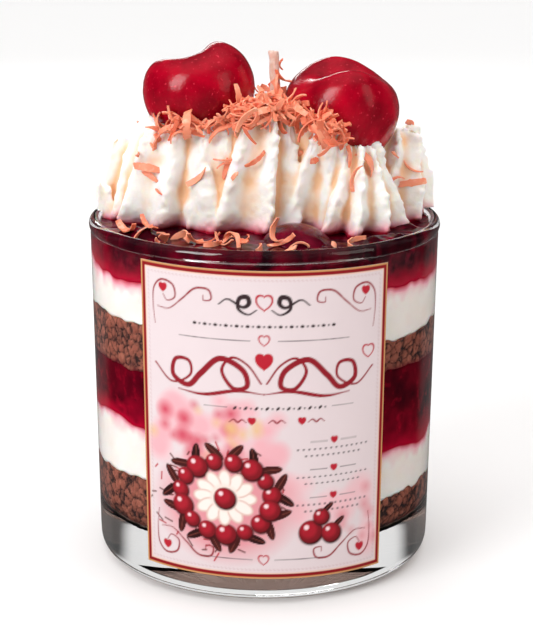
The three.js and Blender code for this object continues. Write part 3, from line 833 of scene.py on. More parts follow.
# %% [markdown]
# ## The cherries
#
# A cherry isn't a ball: it has broad shoulders, a narrower lower end, a deep hollow for the
# stalk and a seam that splits the shoulders. One rule shapes all three. The third is a half,
# lying cut side down, so its points stop at the level where it was cut.

# %% The cherries' shape
cherries = {
    "left": {"centre": (-14.5, 1.5, 107), "radius": 12.3, "axis": (-0.4, 0.33, 1), "spin": 0.24,
             "shoulders": 0.1, "uneven": 0.0},
    "right": {"centre": (17.4, 3.9, 102.4), "radius": 14.0, "axis": (0.06, -0.25, 1), "spin": 1.75,
              "shoulders": 0.12, "uneven": -0.09},
    "sunk": {"centre": (7.2, -20.6, 73.2), "radius": 9.6, "axis": (0.3, 0.8, -0.6), "spin": 0.0,
             "shoulders": 0.08, "uneven": 0.0, "cut_at": 72.4},
}
cherry_form = {"height": 0.93, "taper": 0.14, "flatness": 0.95, "hollow_depth": 0.37, "hollow_width": 0.38}


def cherry_pose(cherry):
    """The turn that points a cherry's stalk end along its axis."""
    turn = Vector((0, 0, 1)).rotation_difference(Vector(cherry["axis"]).normalized()).to_matrix()
    return np.array(turn @ Matrix.Rotation(cherry["spin"], 3, "Z"))


def cherry_rings(cherry, rings=90, columns=120):
    form = cherry_form
    polar = np.linspace(0.02, math.pi - 0.02, rings)[:, None]
    around = np.linspace(0, 2 * math.pi, columns, endpoint=False)[None, :]
    up, side = np.cos(polar), np.sin(polar)
    seam = np.cos(2 * around)
    width = side * (1 + form["taper"] * up + 0.03 * seam)
    rise = (cherry["shoulders"] * seam + cherry["uneven"] * np.cos(around)) * np.sin(math.pi * side)
    hollow = form["hollow_depth"] * np.exp(-((side / form["hollow_width"]) ** 2))
    shape = np.stack([
        width * np.cos(around),
        width * np.sin(around) * form["flatness"],
        form["height"] * up + np.where(up > 0, rise - hollow, 0),
    ], -1)
    dents = 0.018 * noise(shape + cherry["radius"], 0.55, 101) + 0.004 * noise(shape, 0.12, 102)
    shape = shape * (1 + dents[..., None])
    return shape @ cherry_pose(cherry).T * cherry["radius"] + np.array(cherry["centre"])


def add_cherry(name, cherry):
    rings = cherry_rings(cherry)
    if "cut_at" in cherry:
        rings[..., 2] = np.maximum(rings[..., 2], cherry["cut_at"])
    return add_piece(name, *skin(rings))


left_cherry = stand_for(add_cherry("left_cherry", cherries["left"]), "cherry", "cherry_left")
right_cherry = stand_for(add_cherry("right_cherry", cherries["right"]), "cherry", "cherry_right")
half_cherry = stand_for(add_cherry("half_cherry", cherries["sunk"]), "cherry", "cherry_sunk")

# %% [markdown]
# Cherry skin is deep crimson with lighter and darker clouds and tiny pale dots. One smooth, low
# reflection gives it the soft highlights of the lights, and fine bumps break them up a little. The
# half in the jelly is darker and wetter.

# %% The cherries' finish
cherry_finish = Finish("cherry_skin", Roughness=0.2, Specular_IOR_Level=0.3)
clouds = cherry_finish.cover(
    colour(132, 0, 22), colour(180, 2, 34), cherry_finish.speckle(7, detail=3), 0.35, 0.65)
cherry_finish.base(cherry_finish.cover(
    clouds, colour(206, 40, 62), cherry_finish.speckle(0.7, detail=1), 0.66, 0.78))
cherry_finish.bumps(cherry_finish.speckle(0.7, detail=2), 0.045)
for piece in (left_cherry, right_cherry):
    cherry_finish.on(piece)

glazed_finish = Finish("glazed_cherry", Roughness=0.1, Specular_IOR_Level=0.15)
glazed_finish.base(glazed_finish.cover(
    colour(62, 3, 18), colour(104, 8, 34), glazed_finish.speckle(5, detail=3), 0.35, 0.65))
glazed_finish.bumps(glazed_finish.speckle(1.6), 0.03)
glazed_finish.on(half_cherry)

# %% [markdown]
# ## The wick
#
# A braided cotton wick, dipped in wax, stands between the two cherries. Three strands wind round
# it: the radius swells where a strand passes, which a turned cylinder wouldn't show.

# %% The wick
wick = {"x": 2.3, "radius": 1.15, "foot": 98.0, "top": 117.0, "lean": 0.4, "strands": 3, "lay": 5.0}


def wick_centre(height):
    share = np.clip((height - (wick["foot"] + wick["top"]) / 2) / ((wick["top"] - wick["foot"]) / 2), 0, 1)
    return wick["x"] - wick["lean"] * share**2


def add_wick():
    heights = np.linspace(wick["foot"], wick["top"], 90)[:, None]
    around = np.linspace(0, 2 * math.pi, 40, endpoint=False)[None, :]
    braid = 0.0
    for hand in (1, -1):
        phase = wick["strands"] * around + hand * 2 * math.pi * heights / wick["lay"]
        braid = np.maximum(braid, np.abs(np.cos(phase / 2)))
    radius = wick["radius"] * (0.9 + 0.14 * braid)
    place = np.stack([np.cos(around) + 0 * heights, np.sin(around) + 0 * heights, heights + 0 * around], -1)
    radius = radius + 0.07 * noise(place, 0.6, 111)
    frayed = heights + 0.35 * noise(place * [2, 2, 0], 1.1, 112) * (heights > wick["top"] - 0.3)
    x = wick_centre(heights) + radius * np.cos(around)
    y = radius * np.sin(around)
    return add_piece("cotton_wick", *skin(np.stack([x, y, frayed + 0 * around], -1)))


cotton_wick = stand_for(add_wick(), "wick", "wick")
wick_finish = Finish("waxed_cotton", Roughness=0.6, Subsurface_Weight=0.2, Subsurface_Scale=0.001)
wick_finish.base(wick_finish.cover(
    colour(238, 214, 202), colour(222, 178, 158), wick_finish.speckle(1.2), 0.3, 0.7))
wick_finish.bumps(wick_finish.speckle(0.35), 0.08)
wick_finish.on(cotton_wick)

# %% [markdown]
# ## The shaved curls
#
# A scraper lifts thin ribbons off a block: short, curved, thinner at the ends, no two alike.
# Particles would scatter copies, but an export drops them, so each ribbon is made from arrays
# and laid where a ray meets the cream, the jelly, or a curl that is already there. All the
# curls are one mesh.

# %% One curl
CURL_THICKNESS = 0.3
CURL_STEPS = 15
SECTION = np.array([(-1, -0.5), (1, -0.5), (1, 0.5), (-1, 0.5)])


def curl_rings(draw, length, width, bend):
    """A bent ribbon, its middle at the origin and its back up; each end has its own taper."""
    along = np.linspace(-1, 1, CURL_STEPS)
    angle = along * length / 2 / bend
    taper = np.where(along < 0, *draw.uniform(0.0, 0.55, 2))
    half = width / 2 * (1 - taper * np.abs(along) ** 1.6) * (1 + 0.09 * draw.standard_normal(CURL_STEPS))
    twist = draw.uniform(-0.8, 0.8) * along
    skew = draw.uniform(-0.8, 0.8)
    centre = np.stack([bend * np.sin(angle), skew * along, bend * np.cos(angle) - bend], -1)
    out = np.stack([np.sin(angle), 0 * angle, np.cos(angle)], -1)
    cross = np.cos(twist)[:, None] * np.array([0, 1, 0]) + np.sin(twist)[:, None] * out
    out = np.cos(twist)[:, None] * out - np.sin(twist)[:, None] * np.array([0, 1, 0])
    across, up = SECTION[:, 0][None, :, None], SECTION[:, 1][None, :, None]
    sideways = across * half[:, None, None] * cross[:, None]
    return centre[:, None] + sideways + up * CURL_THICKNESS * out[:, None]


# %% The ground that curls land on
def tree_of(piece):
    faces = [tuple(face.vertices) for face in piece.data.polygons]
    return BVHTree.FromPolygons([tuple(point) for point in points_of(piece)], faces)


cream_and_jelly = [tree_of(piped), tree_of(top_jelly)]
fruit_trees = [tree_of(piece) for piece in (left_cherry, right_cherry, half_cherry)]
wick_tree = tree_of(cotton_wick)
FRUIT_REACH = 102.5  # above this height no curl lies on a cherry
HEAP_FOOT = 98.0  # above this height a curl may stand up by CURL_STAND at most
CURL_STAND = 3.4
HEAP_DEPTH = 2.6  # how far from the cream or jelly a curl may land, on other curls
CURL_TRIES = 4
POINTS_IN_CHERRY = 5  # how many of a curl's points may lie in a cherry


def first_hit(trees, start, way):
    """The nearest (distance, place, normal, index of the tree) along a ray, or None."""
    best = None
    for index, tree in enumerate(trees):
        place, normal, _, distance = tree.ray_cast(Vector(start), Vector(way))
        if place is not None and (best is None or distance < best[0]):
            best = (distance, np.array(place), normal if normal.dot(Vector(way)) < 0 else -normal, index)
    return best


def in_a_cherry(points):
    """How many of the points lie inside a cherry."""
    count = 0
    for cherry in cherries.values():
        local = (points - np.array(cherry["centre"])) @ cherry_pose(cherry) / cherry["radius"]
        count += int(np.sum(np.linalg.norm(local / [1.02, 0.97, 0.9], axis=-1) < 0.97))
    return count


def out_of_bounds(points):
    side = np.hypot(points[..., 0], points[..., 1])
    over_rim = points[..., 2] > GLASS_HEIGHT + 0.4
    beside = bool(np.any(side > np.where(over_rim, TOP_RADIUS + 0.8, inner_radius(GLASS_HEIGHT) - 0.2)))
    return beside or bool(np.any(points[..., 2] > wick["top"] + 1.0))


class Shavings:
    """Curls laid so far: their skins, tones and search trees."""

    def __init__(self, seed):
        self.draw = np.random.default_rng(seed)
        self.skins, self.tones, self.trees = [], [], []

    def lay(self, start, way, trees, size):
        """Lay a curl where the ray lands, unless the heap is already deep there. One that would cut a
        cherry or the glass is drawn anew, and after a few tries it is skipped."""
        ground = [*trees, *self.trees]
        hit = first_hit([*ground, *fruit_trees], start, way)
        if hit is None or (hit[3] >= len(ground) and hit[1][2] > FRUIT_REACH):
            return
        if min(tree.find_nearest(Vector(hit[1]))[3] for tree in trees) > HEAP_DEPTH:
            return
        draw = self.draw
        for _ in range(CURL_TRIES):
            rings = curl_rings(draw, *(draw.uniform(*size[side]) for side in ("length", "width", "bend")))
            tip = draw.integers(4) * math.pi / 2 + draw.uniform(-0.45, 0.45)
            turn = draw.uniform(0, 2 * math.pi) + draw.uniform(-0.2, 0.2)
            rings = rings @ np.array(Matrix.Rotation(turn, 3, "Z") @ Matrix.Rotation(tip, 3, "X")).T
            rings[..., 2] -= rings[..., 2].min() + 0.2
            upright = np.array(Vector((0, 0, 1)).rotation_difference(hit[2]).to_matrix())
            rings = rings @ upright.T + hit[1]
            on_end = hit[1][2] > HEAP_FOOT and rings[..., 2].max() > hit[1][2] + CURL_STAND
            if on_end or in_a_cherry(rings.reshape(-1, 3)) > POINTS_IN_CHERRY or out_of_bounds(rings):
                continue
            points, faces = skin(rings)
            self.skins.append((points, faces))
            self.tones.append(np.full(len(points), draw.random()))
            self.trees.append(BVHTree.FromPolygons([tuple(p) for p in points], [tuple(f) for f in faces]))
            return

    def lay_seen(self, x, height, size):
        """Lay a curl on whatever is first met on the way from the viewer to (x, height)."""
        way = Vector((x, CREST_Y, height)) - Vector(VIEWER)
        self.lay(VIEWER, tuple(way.normalized()), cream_and_jelly, size)


# %% [markdown]
# The curls aren't spread evenly. They lie in a heap round the wick, with an arm in front of each
# cherry, singly on the slopes of the cream, and along the open jelly. Those at the front are
# aimed from where the viewer stands, so they end up where they show, and always on something.

# %% Where the curls lie
VIEWER = (0, -386.8, 160.1)
CREST_Y = -8.0
SKY = 130.0
DOWN = (0, 0, -1)
curl_sizes = {
    "large": {"length": (6.5, 10.0), "width": (1.2, 2.1), "bend": (2.4, 6.0)},
    "middling": {"length": (4.2, 7.5), "width": (0.8, 1.4), "bend": (2.0, 6.0)},
    "strand": {"length": (3.5, 7.5), "width": (0.4, 0.75), "bend": (2.0, 7.0)},
    "flake": {"length": (1.0, 2.2), "width": (0.8, 1.5), "bend": (3.0, 9.0)},
}
heap_mix = ["large", "middling", "middling", "strand", "large",
            "middling", "flake", "middling", "large", "strand"]
OVER_THE_MIDDLE, AT_THE_BACK = 70, 40
heaps = [
    {"from": (-4.5, 104.5), "to": (7.5, 106.5), "spread": (1.6, 1.6), "curls": 170},
    {"from": (-21.5, 101.8), "to": (-3.5, 105.5), "spread": (1.0, 1.5), "curls": 170},
    {"from": (6.5, 106.0), "to": (16.0, 99.8), "spread": (1.0, 1.5), "curls": 120},
]
seen_on_cream = [
    (-24.3, 100.5, "middling"), (-23.9, 98.7, "flake"), (-25.0, 97.0, "flake"), (-28.0, 94.9, "flake"),
    (-26.0, 92.0, "large"), (-25.4, 90.2, "middling"), (-17.5, 103.7, "strand"), (-14.6, 89.7, "large"),
    (-9.0, 93.1, "middling"), (-8.5, 91.5, "middling"), (-6.8, 90.1, "flake"), (-2.0, 93.5, "middling"),
    (8.0, 95.3, "flake"), (11.0, 93.7, "flake"), (16.1, 97.5, "large"), (22.4, 93.2, "large"),
    (20.8, 90.0, "middling"), (29.1, 89.8, "middling"), (32.5, 91.8, "middling"), (32.8, 88.6, "large"),
    (29.5, 95.0, "flake"), (-23.5, 86.4, "flake"), (18.5, 94.5, "middling"),
]
on_jelly = [
    (-30.1, -17.7, "large"), (-25.7, -18.7, "large"), (-21.1, -22.8, "large"), (-16.9, -20.9, "large"),
    (-13.0, -23.9, "large"), (-9.3, -25.9, "middling"), (-6.3, -25.0, "large"), (-3.4, -19.0, "strand"),
    (-0.7, -29.9, "middling"), (2.1, -24.1, "large"), (5.7, -30.6, "flake"), (7.5, -28.2, "middling"),
    (15.0, -27.3, "flake"), (18.7, -25.4, "middling"), (-11.0, -27.4, "middling"), (-23.2, -24.5, "flake"),
    (-15.2, -25.2, "middling"), (-7.8, -22.2, "middling"), (4.0, -26.6, "middling"),
    (-27.4, -20.6, "middling"), (33.6, 8.6, "flake"), (-4.9, -28.3, "middling"),
]

shavings = Shavings(7)
for x, height, size in seen_on_cream:
    shavings.lay_seen(x, height, curl_sizes[size])
for x, y, size in on_jelly:
    shavings.lay((x, y, SKY), DOWN, cream_and_jelly, curl_sizes[size])
for heap in heaps:
    for number in range(heap["curls"]):
        share = shavings.draw.uniform(0, 1)
        x, height = np.array(heap["from"]) * (1 - share) + np.array(heap["to"]) * share
        x, height = (x, height) + shavings.draw.normal((0, 0), heap["spread"])
        shavings.lay_seen(x, height, curl_sizes[heap_mix[number % len(heap_mix)]])
for number in range(OVER_THE_MIDDLE):
    x, y = shavings.draw.normal((1, 0), (7, 6))
    shavings.lay((x, y, SKY), DOWN, cream_and_jelly, curl_sizes[heap_mix[number % len(heap_mix)]])
for _ in range(AT_THE_BACK):
    reach, angle = shavings.draw.uniform(10, 34), shavings.draw.uniform(0, math.pi)
    shavings.lay((reach * math.cos(angle), reach * math.sin(angle), SKY), DOWN, cream_and_jelly,
                 curl_sizes["middling"])
on_wick = [(109.5, "strand"), (111, "middling"), (112.5, "strand"), (114, "strand"), (115.5, "strand")]
for height, size in on_wick:
    shavings.lay((wick["x"] + 1.0, CREST_Y, height), (0, 1, 0), [wick_tree], curl_sizes[size])

shaved_curls = add_piece("shaved_curls", *join_skins(shavings.skins))
shaved_curls.data.set_sharp_from_angle(angle=math.radians(40))
paint(shaved_curls, "tone", np.concatenate(shavings.tones))
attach(shaved_curls, "root")
print("curls laid:", len(shavings.skins), "with", len(shaved_curls.data.polygons), "faces")

curl_finish = Finish("shaved_curl", Roughness=0.5, Subsurface_Weight=0.2, Subsurface_Scale=0.0006)
curl_tone = curl_finish.mix(curl_finish.painted("tone"), colour(252, 164, 130), colour(236, 122, 88))
curl_finish.base(curl_finish.cover(
    curl_tone, colour(254, 192, 164), curl_finish.speckle(1.4, detail=3), 0.55, 0.8))
curl_finish.bumps(curl_finish.speckle(0.5), 0.06)
curl_finish.on(shaved_curls)

# %% [markdown]
# ## The printed label
#
# A paper label is glued round the front of the glass. It is a thin curved sheet with a real edge.
# Its print could be a picture, but a picture can't be made from this file alone, so it is drawn
# here: each mark is a rule for how much ink a place on the sheet takes, and the colours are kept
# on a fine grid of points. The marks are common ornament: frame lines, scrolls, hearts, a pen
# flourish, and a wreath of berries and leaves.

# %% The sheet's grid
sheet = {"low": 6.2, "high": 75.9, "half_turn": math.radians(41.25), "tilt": -0.012,
         "lift": 0.04, "thickness": 0.14}
SHEET_CELL = 0.25
sheet_half = outer_radius((sheet["low"] + sheet["high"]) / 2) * sheet["half_turn"]
sheet_tall = sheet["high"] - sheet["low"]
sheet_columns = round(2 * sheet_half / SHEET_CELL) + 1
sheet_rows = round(sheet_tall / SHEET_CELL) + 1
across, up = np.meshgrid(
    np.linspace(-sheet_half, sheet_half, sheet_columns), np.linspace(0, sheet_tall, sheet_rows))
print("label", round(2 * sheet_half, 1), "by", round(sheet_tall, 1), "mm")
print("its grid has", sheet_columns, "by", sheet_rows, "points")


# %% Marks that can be printed
class Print:
    """Inks laid over one another on the sheet, in millimetres from the middle of its lower edge."""

    def __init__(self, ground):
        self.tints = np.tile(np.array(ground), (*across.shape, 1))

    def lay(self, share, tint, window=np.s_[:, :]):
        share = np.clip(share, 0, 1)[..., None]
        self.tints[window] = self.tints[window] * (1 - share) + np.array(tint) * share

    def window(self, x_low, x_high, y_low, y_high):
        """The part of the grid that a mark can touch, and its places."""
        columns = np.clip(np.searchsorted(across[0], (x_low, x_high)), 0, sheet_columns)
        rows = np.clip(np.searchsorted(up[:, 0], (y_low, y_high)), 0, sheet_rows)
        part = np.s_[rows[0]:rows[1], columns[0]:columns[1]]
        return part, across[part], up[part]

    def disc(self, x, y, radius, tint, soft=0.3, strength=1.0, flat=1.0, lean=0.0):
        """A disc, or with `flat` below 1 an ellipse whose long side leans by `lean`."""
        reach = radius + soft
        part, px, py = self.window(x - reach, x + reach, y - reach, y + reach)
        along = (px - x) * math.cos(lean) + (py - y) * math.sin(lean)
        aside = (py - y) * math.cos(lean) - (px - x) * math.sin(lean)
        away = np.hypot(along, aside / flat)
        self.lay(strength * (0.5 + (radius - away) / soft), tint, part)

    def stroke(self, points, width, tint, soft=0.22, swell=0.0):
        """A pen line through the points, thickest in its middle by `swell`."""
        points = np.array(points, float)
        length = np.sum(np.hypot(*np.diff(points, axis=0).T))
        path = smooth_curve(points, max(8, round(length / 0.12)))
        widths = width + swell * np.sin(np.linspace(0, math.pi, len(path))) ** 2
        low, high = path.min(0) - widths.max() - soft, path.max(0) + widths.max() + soft
        part, px, py = self.window(low[0], high[0], low[1], high[1])
        share = np.zeros(px.shape)
        for (x, y), thick in zip(path, widths):
            share = np.maximum(share, 0.5 + (thick / 2 - np.hypot(px - x, py - y)) / soft)
        self.lay(share, tint, part)

    def heart(self, x, y, size, tint, outline=0.0, soft=0.22):
        part, px, py = self.window(x - 1.5 * size, x + 1.5 * size, y - 1.5 * size, y + 1.5 * size)
        u, v = (px - x) / size, (py - y) / size
        away = (u**2 + v**2 - 1 - np.cbrt(u**2 * v**3)) / 2 * size
        depth = outline / 2 - np.abs(away) if outline else -away
        self.lay(0.5 + depth / soft, tint, part)

    def mirrored(self, points, *how, **more):
        for side in (-1, 1):
            self.stroke([(side * x, y) for x, y in points], *how, **more)


# %% The ground and its soft colours
dark_red, bright_red = colour(150, 16, 34), colour(188, 22, 44)
gold, peach_line, charcoal = colour(206, 150, 96), colour(238, 196, 176), colour(58, 40, 44)
paper_print = Print(colour(228, 214, 216))
draw = np.random.default_rng(3)
# A row: tint, how many, ranges of x, y and size, and strength.
blurs = [
    (colour(238, 178, 186), 34, (-27, 4), (24, 42), (1.5, 4.0), 0.5),
    (colour(214, 84, 104), 22, (-26, -6), (27, 40), (0.8, 2.2), 0.55),
    (colour(232, 190, 130), 12, (-26, 2), (27, 40), (0.6, 1.6), 0.5),
    (colour(240, 190, 196), 26, (4, 27), (5, 24), (1.5, 3.6), 0.35),
    (colour(222, 120, 130), 10, (12, 27), (7, 20), (0.7, 1.8), 0.4),
]
for tint, count, *ranges, strength in blurs:
    for _ in range(count):
        x, y, size = (draw.uniform(*span) for span in ranges)
        paper_print.disc(x, y, size, tint, soft=1.4, strength=strength)

# %% A wreath of berries and leaves
WREATH = (-8.6, 18.6)


def berry(x, y, radius):
    paper_print.disc(x + 0.2, y - 0.3, radius * 1.12, colour(72, 6, 14), soft=0.5)
    paper_print.disc(x, y, radius, colour(134, 6, 24), soft=0.35)
    paper_print.disc(x - 0.15 * radius, y + 0.15 * radius, radius * 0.7, colour(176, 14, 38), soft=0.9)
    paper_print.disc(x - 0.35 * radius, y + 0.4 * radius, radius * 0.22, colour(250, 214, 218), soft=0.35)


def leaf(x, y, length, lean, tint):
    paper_print.disc(x, y, length / 2, tint, soft=0.35, flat=0.36, lean=lean)
    vein = np.array([math.cos(lean), math.sin(lean)]) * length * 0.42
    paper_print.stroke([(x, y) - vein, (x, y) + vein], 0.12, colour(150, 70, 56))


paper_print.disc(WREATH[0], WREATH[1] - 2, 15.6, colour(226, 150, 158), soft=5, strength=0.7, flat=0.8)
for number in range(70):
    turn, reach = draw.uniform(0, 2 * math.pi), draw.uniform(9, 17)
    x, y = WREATH[0] + 1.12 * reach * math.cos(turn), WREATH[1] - 1 + 0.8 * reach * math.sin(turn)
    shard = np.array([math.cos(5 * turn), math.sin(5 * turn)]) * draw.uniform(0.4, 1.1)
    if x > 5:
        continue
    tint = colour(96, 36, 26) if number % 3 else bright_red
    paper_print.stroke([(x, y) - shard, (x, y) + shard], 0.35, tint)
for number in range(18):
    turn = number * 2 * math.pi / 18
    x, y = WREATH[0] + 13 * math.cos(turn), WREATH[1] + 10.6 * math.sin(turn)
    leaf_tint = colour(74, 22, 20) if number % 3 else colour(52, 14, 16)
    leaf(x, y, 5.4, turn + (0.7 if number % 2 else -0.6), leaf_tint)
for number in range(15):
    turn = (number + 0.3) * 2 * math.pi / 15
    x, y = WREATH[0] + 10.4 * math.cos(turn), WREATH[1] + 8.4 * math.sin(turn)
    berry(x, y, 2.0 + 0.35 * math.sin(4.1 * number))
for number in range(12):
    turn = number * 2 * math.pi / 12
    x, y = WREATH[0] + 4.7 * math.cos(turn), WREATH[1] + 4.0 * math.sin(turn)
    paper_print.disc(x, y, 2.5, colour(226, 196, 184), soft=0.4, flat=0.62, lean=turn)
    paper_print.disc(x, y, 2.1, colour(249, 238, 230), soft=0.5, flat=0.55, lean=turn)
paper_print.disc(*WREATH, 3.2, colour(244, 226, 216), soft=0.8)
berry(*WREATH, 2.3)
for x, y, radius in ((10.4, 10.8, 2.6), (15.2, 10.2, 2.2), (12.8, 14.2, 1.8)):
    leaf(x + 0.8 * radius, y + radius, 3.6, 0.7, colour(60, 18, 18))
    berry(x, y, radius)

# %% Frame lines, scrolls and hearts
edge = np.minimum(np.minimum(sheet_half - np.abs(across), up), sheet_tall - up)
paper_print.lay(0.5 + (0.36 - edge) / 0.15, gold)
paper_print.lay(0.5 + (0.36 - np.abs(edge - 0.75)) / 0.15, colour(146, 2, 16))
paper_print.lay(0.5 + (0.14 - np.abs(edge - 1.3)) / 0.2, peach_line)
beads = 0.5 + 0.5 * np.cos((across + up) * 2 * math.pi / 0.9)
paper_print.lay((0.5 + (0.1 - np.abs(edge - 2.1)) / 0.25) * beads * 0.8, colour(196, 150, 150))

scroll = [(3.7, 13.5), (3.3, 9.4), (3.6, 5.6), (5.6, 3.6), (8.4, 4.4), (8.9, 7), (7, 8), (6, 6.8)]
tendril = [
    (4.4, 9.6), (7.4, 9.7), (10.6, 7.2), (13.6, 4.6), (16.6, 4.6), (17.2, 6.6), (15.6, 7), (15.4, 5.9)]


def in_corner(points, side, end):
    """Points given from a corner inwards, placed in the left (-1) or right, bottom (0) or top one."""
    return [(side * (sheet_half - x), sheet_tall - y if end else y) for x, y in points]


for side in (-1, 1):
    for end in (0, 1):
        paper_print.stroke(in_corner(scroll, side, end), 0.2, dark_red, swell=0.25)
        paper_print.stroke(in_corner(tendril, side, end), 0.2, dark_red, swell=0.25)
        heart_x, heart_y = in_corner([(6.2, 5.4)], side, end)[0]
        paper_print.heart(heart_x + side * 0.3, heart_y, 0.95, bright_red)

# %% The middle: flourishes and rules
top_scroll = [
    (1.6, 61.2), (3.4, 60.2), (5.4, 61.4), (5.2, 63.6), (3.6, 64),
    (3.2, 62.6), (4.6, 61.8), (7.6, 63.4), (9.6, 62.2),
]
paper_print.mirrored(top_scroll, 0.3, charcoal, swell=0.75)
paper_print.heart(0, 62.6, 1.5, bright_red, outline=0.4)
for number in range(-13, 14):
    paper_print.disc(number * 1.15, 57.6, 0.42 if number % 2 else 0.24, charcoal, soft=0.25, flat=0.8)
paper_print.mirrored([(3, 54.4), (11, 54.5), (18.6, 54.4)], 0.14, charcoal)
paper_print.heart(0, 54.4, 1.0, bright_red, outline=0.3)

flourish = [
    (0.6, 45), (3.4, 49), (6.8, 50.6), (9, 47.6), (6.6, 43.8), (3.6, 44.4), (4.6, 48), (9.4, 50.2),
    (13.6, 46.6), (16.6, 43.6), (20.2, 45.4), (19.6, 49), (16.4, 49), (16.2, 45.8), (20.6, 43.8),
    (24.8, 47.4),
]
paper_print.mirrored(flourish, 0.4, dark_red, swell=0.9)
paper_print.mirrored([(0, 42.6), (6, 43.2), (13, 41.9), (19, 42.4)], 0.25, dark_red, swell=0.6)
paper_print.heart(0, 49.6, 1.7, bright_red)
paper_print.heart(23.6, 50.6, 1.3, bright_red, outline=0.35)

for number in range(-4, 5):
    paper_print.disc(3 + number * 2.3, 39.4, 0.5, charcoal, soft=0.25, flat=0.55, lean=math.pi / 4)
    paper_print.disc(3 + number * 2.3 + 1.15, 39.4, 0.2, charcoal, soft=0.25)
for start in (-13, 15):
    paper_print.stroke([(start, 39.4), (start + 2.5, 39.4), (start + 5, 39.4)], 0.14, charcoal)
for x in (-2.6, 8.2):
    paper_print.heart(x, 36.4, 0.8, bright_red)
for x in (-5.6, 2.8, 11.4):
    wave = [(x - 1.8, 36.2), (x - 0.9, 36.8), (x, 36.2), (x + 0.9, 36.8), (x + 1.8, 36.2)]
    paper_print.stroke(wave, 0.22, dark_red, swell=0.2)

for group in range(3):
    height = 31.6 - group * 6.4
    paper_print.heart(15.6, height, 0.75, bright_red)
    for side in (-1, 1):
        paper_print.stroke([(15.6 + side * 1.6, height), (15.6 + side * 5.4, height)], 0.16, charcoal)
    for row, spread in ((1.7, 8.2), (3.2, 6.4)):
        for x in np.arange(-spread, spread + 0.1, 1.25):
            paper_print.disc(15.6 + x, height - row, 0.26, charcoal, soft=0.3, flat=0.7)

paper_print.mirrored([(2.4, 4.4), (8, 4.5), (13.6, 4.4)], 0.14, charcoal)
paper_print.heart(0, 4.3, 1.0, bright_red, outline=0.3)


# %% The sheet round the glass
def sheet_points(x, y, lift):
    turn = x / sheet_half * sheet["half_turn"]
    height = sheet["low"] + y
    radius = outer_radius(height) + lift
    tilted = height + sheet["tilt"] * radius * turn
    return np.stack([radius * np.sin(turn), -radius * np.cos(turn), tilted], -1)


def add_label():
    """A dense front, a plain back, and a rim of faces between them."""
    front = sheet_points(across, up, sheet["lift"] + sheet["thickness"]).reshape(-1, 3)
    ends = sheet_points(across[[0, -1]], up[[0, -1]], sheet["lift"]).reshape(-1, 3)
    number = np.arange(len(front)).reshape(across.shape)
    below = len(front) + np.arange(sheet_columns)
    above = below + sheet_columns
    strips = [
        np.stack([number[:-1, :-1], number[:-1, 1:], number[1:, 1:], number[1:, :-1]], -1).reshape(-1, 4),
        np.stack([below[:-1], above[:-1], above[1:], below[1:]], -1),
        np.stack([number[0, :-1], below[:-1], below[1:], number[0, 1:]], -1),
        np.stack([number[-1, :-1], number[-1, 1:], above[1:], above[:-1]], -1),
    ]
    faces = [face for strip in strips for face in strip.tolist()]
    faces.append([*number[:, 0].tolist(), int(above[0]), int(below[0])])
    faces.append([int(below[-1]), int(above[-1]), *number[::-1, -1].tolist()])
    piece = add_piece("printed_label", np.vstack([front, ends]), faces)
    piece.data.set_sharp_from_angle(angle=math.radians(40))
    back_tints = np.tile(np.array(colour(240, 236, 234)), (len(ends), 1))
    tints = np.vstack([paper_print.tints.reshape(-1, 4), back_tints])
    layer = piece.data.color_attributes.new("print", "FLOAT_COLOR", "POINT")
    layer.data.foreach_set("color", tints.astype(np.float32).ravel())
    return piece


printed_label = stand_for(add_label(), "label", "label")

# %% [markdown]
# The paper has a soft satin face. The print is read from the points; a slow, faint cloud keeps
# the ground from looking flat, and the fibres are a very low bump.

# %% The label's finish
paper = Finish("printed_paper", Roughness=0.5, Specular_IOR_Level=0.25)
inks = paper.node("ShaderNodeAttribute", attribute_name="print").outputs["Color"]
aged = paper.node("ShaderNodeMix", data_type="RGBA", blend_type="MULTIPLY")
aged.inputs[0].default_value = 1.0
paper.set(aged.inputs[6], inks)
paper.set(aged.inputs[7], paper.mix(paper.speckle(9), (1.0, 0.985, 0.985, 1), (0.955, 0.94, 0.945, 1)))
paper.base(aged.outputs[2])
paper.bumps(paper.speckle(0.4), 0.012)
paper.on(printed_label)

# %% [markdown]
# ## The room: floor, soft boxes and camera
#
# The candle stands on a pale floor in a bright, even room. A soft box at the left front is the
# main light, a weaker, warmer one fills the right, and a third lights it from behind. A pale sky
# keeps the background white. The front of the room is darker than the back, and that is what
# draws the grey lines in the clear glass base.

# %% The floor and the lights
def add_soft_box(name, place, aim, width, height, power, tint=(1, 1, 1)):
    light = bpy.data.lights.new(name, "AREA")
    light.shape = "RECTANGLE"
    light.size, light.size_y = width, height
    light.energy = power
    light.color = tint
    lamp = bpy.data.objects.new(name, light)
    bpy.context.scene.collection.objects.link(lamp)
    lamp.location = place
    lamp.rotation_euler = (Vector(aim) - Vector(place)).to_track_quat("-Z", "Y").to_euler()


FLOOR_HALF = 3.0  # metres
floor_corners = [(x * FLOOR_HALF, y * FLOOR_HALF) for x, y in ((-1, -1), (1, -1), (1, 1), (-1, 1))]
floor_points = [(x / MM, y / MM, -0.05) for x, y in floor_corners]
floor = add_piece("floor", floor_points, [[0, 1, 2, 3]], smooth=False)
floor_finish = Finish("pale_floor", Roughness=0.55)
away = floor_finish.node("ShaderNodeVectorMath", operation="LENGTH")
floor_finish.set(away.inputs[0], floor_finish.place)
